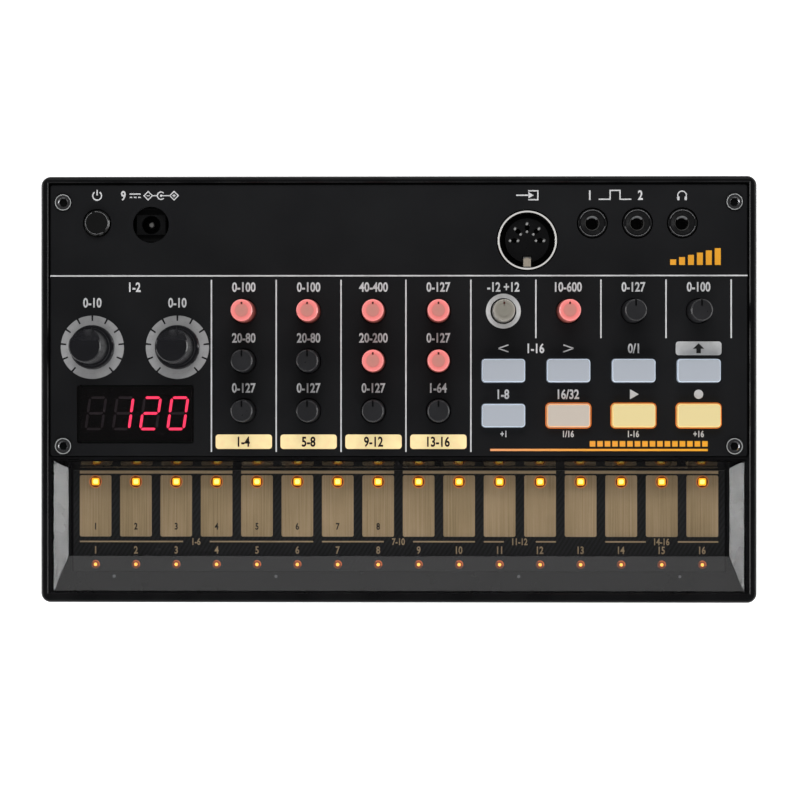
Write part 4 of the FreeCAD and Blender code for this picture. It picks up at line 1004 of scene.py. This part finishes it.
def dome(x, y, low, high, radius, steps=14, rings=4):
    """A round pin with a domed end."""
    points = []
    faces = []
    levels = [(radius, low)]
    for i in range(rings):
        turn = math.pi / 2 * i / rings
        levels.append((radius * math.cos(turn), high - radius + radius * math.sin(turn)))
    for r, z in levels:
        points += [(px, py, z) for px, py in disc(x, y, r, steps)]
    for level in range(len(levels) - 1):
        for i in range(steps):
            following = (i + 1) % steps
            a = level * steps
            faces.append((a + i, a + following, a + steps + following, a + steps + i))
    points.append((x, y, high))
    last = (len(levels) - 1) * steps
    for i in range(steps):
        faces.append((last + i, last + (i + 1) % steps, len(points) - 1))
    faces.append(tuple(range(steps - 1, -1, -1)))
    return points, faces


PIN_CIRCLE = 3.5
PIN_REACH = 1.09
PIN_R = 0.3
PIN_STEP = 45
PINS = 5
PIN_SINK = 0.25


def socket_pins():
    """Two pin ends in each of the five slots of the socket's insulator."""
    x0, y0, _ = centre("din_insulator")
    low = top_of("din_contacts")
    high = top_of("din_insulator") - PIN_SINK
    pins = []
    for i in range(PINS):
        turn = math.radians(PIN_STEP * i)
        for radius in (PIN_CIRCLE - PIN_REACH, PIN_CIRCLE + PIN_REACH):
            pins.append(dome(x0 + radius * math.cos(turn), y0 + radius * math.sin(turn), low, high, PIN_R))
    shine = polish("pin_shine", (0.9, 0.9, 0.88), 0.15, (0.9, 0.9, 0.9), 0.25)
    add_piece("socket_pins", pins, shine)


SHELL_EDGE_INNER = 7.52
SHELL_EDGE_OUTER = 7.93
KEY_W = 2.0
KEY_INNER = 4.5
KEY_OUTER = 7.0
KEY_SINK = 1.6
KEY_TIP = 0.5


def edge_ring(x, y, level, inner, outer, steps=24):
    """A thin whole ring that lies half in and half out of a face."""
    return [slab(half, level - INK_T, level + INK_T) for half in ring(x, y, inner, outer, steps)]


def socket_edge_highlight():
    """A painted highlight: bright metal with light of its own round the edge of the five-pin socket's
    shell.
    """
    x, y, _ = centre("din_shell")
    parts = edge_ring(x, y, top_of("din_shell"), SHELL_EDGE_INNER, SHELL_EDGE_OUTER, 40)
    edge_highlight = metal("painted_edge_highlight", (0.95, 0.93, 0.90), 0.3, shine=0.55)
    add_piece("socket_edge_highlight", parts, edge_highlight)


def socket_key():
    """The pale top of the key that points inwards from the front of the shell, with a little painted light
    of its own.
    """
    x, y, _ = centre("din_shell")
    level = top_of("din_shell") - KEY_SINK
    outline = bar(x - KEY_W / 2, x + KEY_W / 2, y - KEY_OUTER, y - KEY_INNER - KEY_TIP)
    outline.insert(3, (x, y - KEY_INNER))
    parts = [slab(outline, level + INK_LIFT, level + INK_T)]
    add_piece("socket_key", parts, ink("key_ink", (0.42, 0.37, 0.30), 0.35, 0.2))


JACKS = 3
LIP_OUTER = 1.93
LIP_INNER = 1.5
LIP_DEPTH = 1.1
LIP_T = 0.3
JACK_EDGE_INNER = 3.42
JACK_EDGE_OUTER = 3.55


def jack_places():
    """Middles of the three jacks, from the box that holds them side by side."""
    low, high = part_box("jack_bodies")
    half = (high[1] - low[1]) / 2 / MM
    first = low[0] / MM + half
    last = high[0] / MM - half
    y = (low[1] + high[1]) / 2 / MM
    return [(first + (last - first) * i / (JACKS - 1), y) for i in range(JACKS)]


def jack_lip_highlights():
    """A painted highlight: a silver arc of bright metal with light of its own, sloped inside the back of
    each jack's mouth where its metal lip catches the light.
    """
    top = top_of("jack_bodies") - LIP_DEPTH
    lip_highlights = []
    for x, y in jack_places():
        band = arc_band(x, y, LIP_INNER, LIP_OUTER, 40, 140, 14)
        points, faces = slab(band, top - LIP_T, top)
        sloped = []
        for index, (px, py, pz) in enumerate(points):
            drop = LIP_OUTER - math.hypot(px - x, py - y)
            if index < len(band):
                drop *= 2
            sloped.append((px, py, pz - drop))
        lip_highlights.append((sloped, faces))
    shine = polish("lip_shine", (0.85, 0.86, 0.88), 0.22, (0.8, 0.82, 0.85), 0.12)
    add_piece("jack_lip_highlights", lip_highlights, shine)


def jack_edge_highlights():
    """A painted highlight: the thin pale line round each jack's collar, at the back and the front only."""
    top = top_of("jack_bodies")
    arcs = []
    for x, y in jack_places():
        for start, end in ((20, 160), (195, 345)):
            arc = arc_band(x, y, JACK_EDGE_INNER, JACK_EDGE_OUTER, start, end, 20)
            arcs.append(slab(arc, top - INK_T, top + INK_T))
    add_piece("jack_edge_highlights", arcs, ink("collar_highlight_ink", (0.21, 0.21, 0.215), 0.3))


SCREW_FLATS = 2.0
SCREW_HEAD_R = 2.2
SCREW_SOCKET_DEPTH = 0.9
SCREW_RING_W = 0.22


def screw_shade_and_highlights():
    """Painted shade on the floor of each panel screw's socket, and a painted highlight on the edge of its
    head.
    """
    low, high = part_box("panel_screws")
    top = high[2] / MM
    level = top - SCREW_SOCKET_DEPTH + INK_LIFT
    corner_r = SCREW_FLATS / math.sqrt(3) - INK_T
    ring_r = SCREW_HEAD_R - INK_T
    shaded_floors = []
    rings = []
    for x in (low[0] / MM + SCREW_HEAD_R, high[0] / MM - SCREW_HEAD_R):
        for y in (low[1] / MM + SCREW_HEAD_R, high[1] / MM - SCREW_HEAD_R):
            shaded_floors.append(slab(disc(x, y, corner_r, 6), level, level + INK_T))
            rings += edge_ring(x, y, top, ring_r - SCREW_RING_W, ring_r)
    add_piece("screw_socket_shade", shaded_floors, ink("socket_shade_ink", (0.002, 0.003, 0.003)))
    add_piece("screw_edge_highlights", rings, ink("screw_highlight_ink", (0.42, 0.43, 0.43), 0.3))


# Numeric display

SEGMENTS = {"1": "bc", "2": "abged", "0": "abcdef", " ": ""}
SHOWN = " 120"
SEGMENT_GAP = 0.2
SEGMENT_RISE = 0.1
DIGIT_H = 9.15
DIGIT_W = 5.0
DIGIT_PITCH = 7.4
DIGIT_SLANT = 0.14
DIGIT_T = 0.68
LAST_DIGIT_X = -59.6
DIGIT_Y = -6.45


def segment_outlines(x, y):
    """The seven bars of one figure, as outlines that lean to the right."""
    w = DIGIT_W / 2
    h = DIGIT_H / 2
    t = DIGIT_T
    gap = SEGMENT_GAP
    half = t / 2

    def level(cy):
        return [(-w + half + gap, cy), (-w + t + gap, cy + half), (w - t - gap, cy + half),
                (w - half - gap, cy), (w - t - gap, cy - half), (-w + t + gap, cy - half)]

    def upright(cx, y0, y1):
        return [(cx, y0 + gap), (cx + half, y0 + half + gap), (cx + half, y1 - half - gap), (cx, y1 - gap),
                (cx - half, y1 - half - gap), (cx - half, y0 + half + gap)]

    shapes = {"a": level(h - half), "g": level(0.0), "d": level(half - h),
              "f": upright(half - w, 0.0, h - half), "b": upright(w - half, 0.0, h - half),
              "e": upright(half - w, half - h, 0.0), "c": upright(w - half, half - h, 0.0)}
    leaned = {}
    for key, outline in shapes.items():
        leaned[key] = [(x + px + py * DIGIT_SLANT, y + py) for px, py in outline]
    return leaned


def display_figures():
    """Lit bars that show a number, over the unlit bars of every figure."""
    lit = []
    dark = []
    for place, figure in enumerate(SHOWN):
        x = LAST_DIGIT_X - (len(SHOWN) - 1 - place) * DIGIT_PITCH
        for key, outline in segment_outlines(x, DIGIT_Y).items():
            target = lit if key in SEGMENTS[figure] else dark
            target.append(slab(outline, MODULE_TOP + INK_LIFT, MODULE_TOP + SEGMENT_RISE))
    add_piece("lit_segments", lit, light("segment_light", (1.0, 0.045, 0.115), 2.7))
    add_piece("dark_segments", dark, ink("segment_dark", (0.095, 0.095, 0.10)))


# Painted shade in the pointer grooves and dimples of the small knobs

KNOB_TOP_R = 2.9
KNOB_EDGE = 0.3
POINTER_W = 0.42
POINTER_L = 1.75
POINTER_DEPTH = 0.25
DIMPLE_L = 0.6
DIMPLE_INSET = 0.4


def knob_marks():
    """A pointer on each black knob and a dimple on each lit or clear one, riding on the knob: a dark mark
    on the floor of each recess, which is painted shade.
    """
    pointer_shade_ink = ink("pointer_shade_ink", (0.0015, 0.0015, 0.002))
    dimple_shade_ink = ink("dimple_shade_ink", (0.10, 0.03, 0.025))
    for name, part in nodes.items():
        if not name.startswith("small_knob"):
            continue
        x, y, _ = centre(name)
        floor = top_of(name) - POINTER_DEPTH
        rim = y + KNOB_TOP_R - KNOB_EDGE
        if part.data.materials[0] == MATERIALS["black_knob"]:
            front = rim + KNOB_EDGE - POINTER_L
            back = rim + KNOB_EDGE / 2
            paint = pointer_shade_ink
        else:
            front = rim - DIMPLE_INSET - DIMPLE_L
            back = front + DIMPLE_L
            paint = dimple_shade_ink
        outline = bar(x - POINTER_W / 2, x + POINTER_W / 2, front, back)
        mark = slab(outline, floor + INK_LIFT, floor + INK_T)
        add_piece(name + "_mark", [mark], paint, name)


POWER_EDGE_R = 3.08
POWER_EDGE_W = 0.13


def power_edge_highlight():
    """A painted highlight: the thin pale line round the top of the power button."""
    x, y, _ = centre("power_button")
    top = top_of("power_button")
    inner = POWER_EDGE_R - POWER_EDGE_W
    arcs = [arc_band(x, y, inner, POWER_EDGE_R, start, end, 24) for start, end in ((-35, 100), (115, 305))]
    parts = [slab(arc, top - INK_T, top + INK_T) for arc in arcs]
    highlight = ink("power_highlight_ink", (0.20, 0.20, 0.205))
    add_piece("power_edge_highlight", parts, highlight, "power_button")


# Light that leaks round the lit buttons

GLOW_OUTER = (12.34, 6.94, 1.27)
GLOW_INNER = (12.02, 6.62, 1.10)


def button_glow():
    parts = []
    for name in ("button_2_2", "button_2_3", "button_2_4"):
        x, y, _ = centre(name)
        outer = rounded(x, y, *GLOW_OUTER, 8)
        inner = rounded(x, y, *GLOW_INNER, 8)
        for i in range(len(outer)):
            following = (i + 1) % len(outer)
            parts.append(on_panel([outer[i], outer[following], inner[following], inner[i]]))
    add_piece("button_glow", parts, light("glow_light", (1.0, 0.26, 0.03), 0.17))


# Floor, world, lamps and camera

def shows_white(paint, share):
    """Adds light of its own for rays that look at a surface directly, in a mirror or through glass."""
    path = paint.add("ShaderNodeLightPath")
    seen = paint.math("MAXIMUM", path.outputs["Is Camera Ray"], path.outputs["Is Glossy Ray"])
    seen = paint.math("MAXIMUM", seen, path.outputs["Is Transmission Ray"])
    paint.link(paint.math("MULTIPLY", seen, share), paint.shader.inputs["Emission Strength"])
    paint.set("Emission Color", (1.0, 1.0, 1.0))


def open_below(paint):
    """Leaves the floor clear from its underside, so that the underside of the case can be looked at."""
    side = paint.add("ShaderNodeNewGeometry")
    clear = paint.add("ShaderNodeBsdfTransparent")
    upper = paint.shader.outputs["BSDF"]
    paint.surface(paint.mix(side.outputs["Backfacing"], upper, clear.outputs["BSDF"]))


FLOOR_HALF = 4000.0
FLOOR_GLOW = 0.75


def make_floor():
    outline = bar(-FLOOR_HALF, FLOOR_HALF, -FLOOR_HALF, FLOOR_HALF)
    floor = mesh_piece("floor", [([(x, y, 0.0) for x, y in outline], [(0, 1, 2, 3)])])
    paint = Paint("floor_paint", (0.8, 0.8, 0.8), 0.9, specular=0.0)
    shows_white(paint, FLOOR_GLOW)
    open_below(paint)
    floor.data.materials.append(paint.material)


# Grey of the sky by its height, from 0 at the horizon, and its share of light by how far back it lies
SKY_STOPS = ((0.0, 0.70), (0.22, 0.62), (0.55, 0.22), (0.85, 0.10))
SKY_BEHIND = (0.3, 0.9, 1.0, 0.35)


def make_world():
    """Pale round the horizon and dim overhead and behind, as a light tent open to the camera."""
    world = bpy.data.worlds.new("studio")
    bpy.context.scene.world = world
    world.use_nodes = True
    tree = world.node_tree
    sky = tree.nodes["Background"]
    coords = tree.nodes.new("ShaderNodeTexCoord")
    split = tree.nodes.new("ShaderNodeSeparateXYZ")
    tree.links.new(coords.outputs["Generated"], split.inputs["Vector"])
    ramp = tree.nodes.new("ShaderNodeValToRGB")
    while len(ramp.color_ramp.elements) < len(SKY_STOPS):
        ramp.color_ramp.elements.new(0.5)
    for element, (place, grey) in zip(ramp.color_ramp.elements, SKY_STOPS):
        element.position = place
        element.color = (grey, grey, grey, 1.0)
    tree.links.new(split.outputs["Z"], ramp.inputs["Fac"])
    tree.links.new(ramp.outputs["Color"], sky.inputs["Color"])
    behind = tree.nodes.new("ShaderNodeMapRange")
    for name, value in zip(("From Min", "From Max", "To Min", "To Max"), SKY_BEHIND):
        behind.inputs[name].default_value = value
    tree.links.new(split.outputs["Y"], behind.inputs["Value"])
    tree.links.new(behind.outputs["Result"], sky.inputs["Strength"])


# Soft boxes: name, place, width and height in metres, watts, and whether shiny faces mirror them
LAMPS = (
    ("left_box", (-0.75, 0.0, 0.12), 0.6, 0.09, 1.4, True),
    ("right_box", (0.75, 0.0, 0.12), 0.6, 0.09, 1.3, True),
    ("back_box", (0.0, 0.8, 0.45), 0.9, 0.3, 5.8, False),
    ("slope_box", (0.0, 0.62, 0.52), 0.8, 0.35, 0.85, True),
    ("front_box", (0.0, -0.8, 0.35), 0.9, 0.3, 7.0, False),
)


def make_lamp(name, place, width, height, watts, mirrored):
    """A soft box that faces the middle of the panel."""
    data = bpy.data.lights.new(name, "AREA")
    data.shape = "RECTANGLE"
    data.size = width
    data.size_y = height
    data.energy = watts
    lamp = bpy.data.objects.new(name, data)
    lamp.location = place
    aim = Vector((0.0, 0.0, PANEL_TOP * MM)) - Vector(place)
    lamp.rotation_euler = aim.to_track_quat("-Z", "Y").to_euler()
    lamp.visible_glossy = mirrored
    bpy.context.scene.collection.objects.link(lamp)


def make_lamps():
    for lamp in LAMPS:
        make_lamp(*lamp)


# The camera looks down from CAMERA_RISE over the panel, and aims at VIEW_X on it.
VIEW_X = 0.5
CAMERA_X = 8.5
CAMERA_Y = -2.85
CAMERA_RISE = 590.0
CAMERA_LENS = 98.5
SENSOR = 36.0


def make_camera():
    data = bpy.data.cameras.new("camera")
    data.lens = CAMERA_LENS
    data.sensor_width = SENSOR
    data.clip_start = 0.01
    camera = bpy.data.objects.new("camera", data)
    camera.location = (CAMERA_X * MM, CAMERA_Y * MM, (PANEL_TOP + CAMERA_RISE) * MM)
    camera.rotation_euler = (0.0, math.atan2(CAMERA_X - VIEW_X, CAMERA_RISE), 0.0)
    bpy.context.scene.collection.objects.link(camera)
    bpy.context.scene.camera = camera


make_camera()
dress_frame()
grey_prints()
badge_print()
shift_badge()
orange_print()
board_print()
pad_figures()
step_lights()
front_lights()
tray_edge_highlights()
ejector_marks()
socket_pins()
socket_edge_highlight()
socket_key()
jack_lip_highlights()
jack_edge_highlights()
screw_shade_and_highlights()
display_figures()
knob_marks()
power_edge_highlight()
button_glow()
make_floor()
make_world()
make_lamps()
bpy.context.scene.view_settings.view_transform = "Standard"
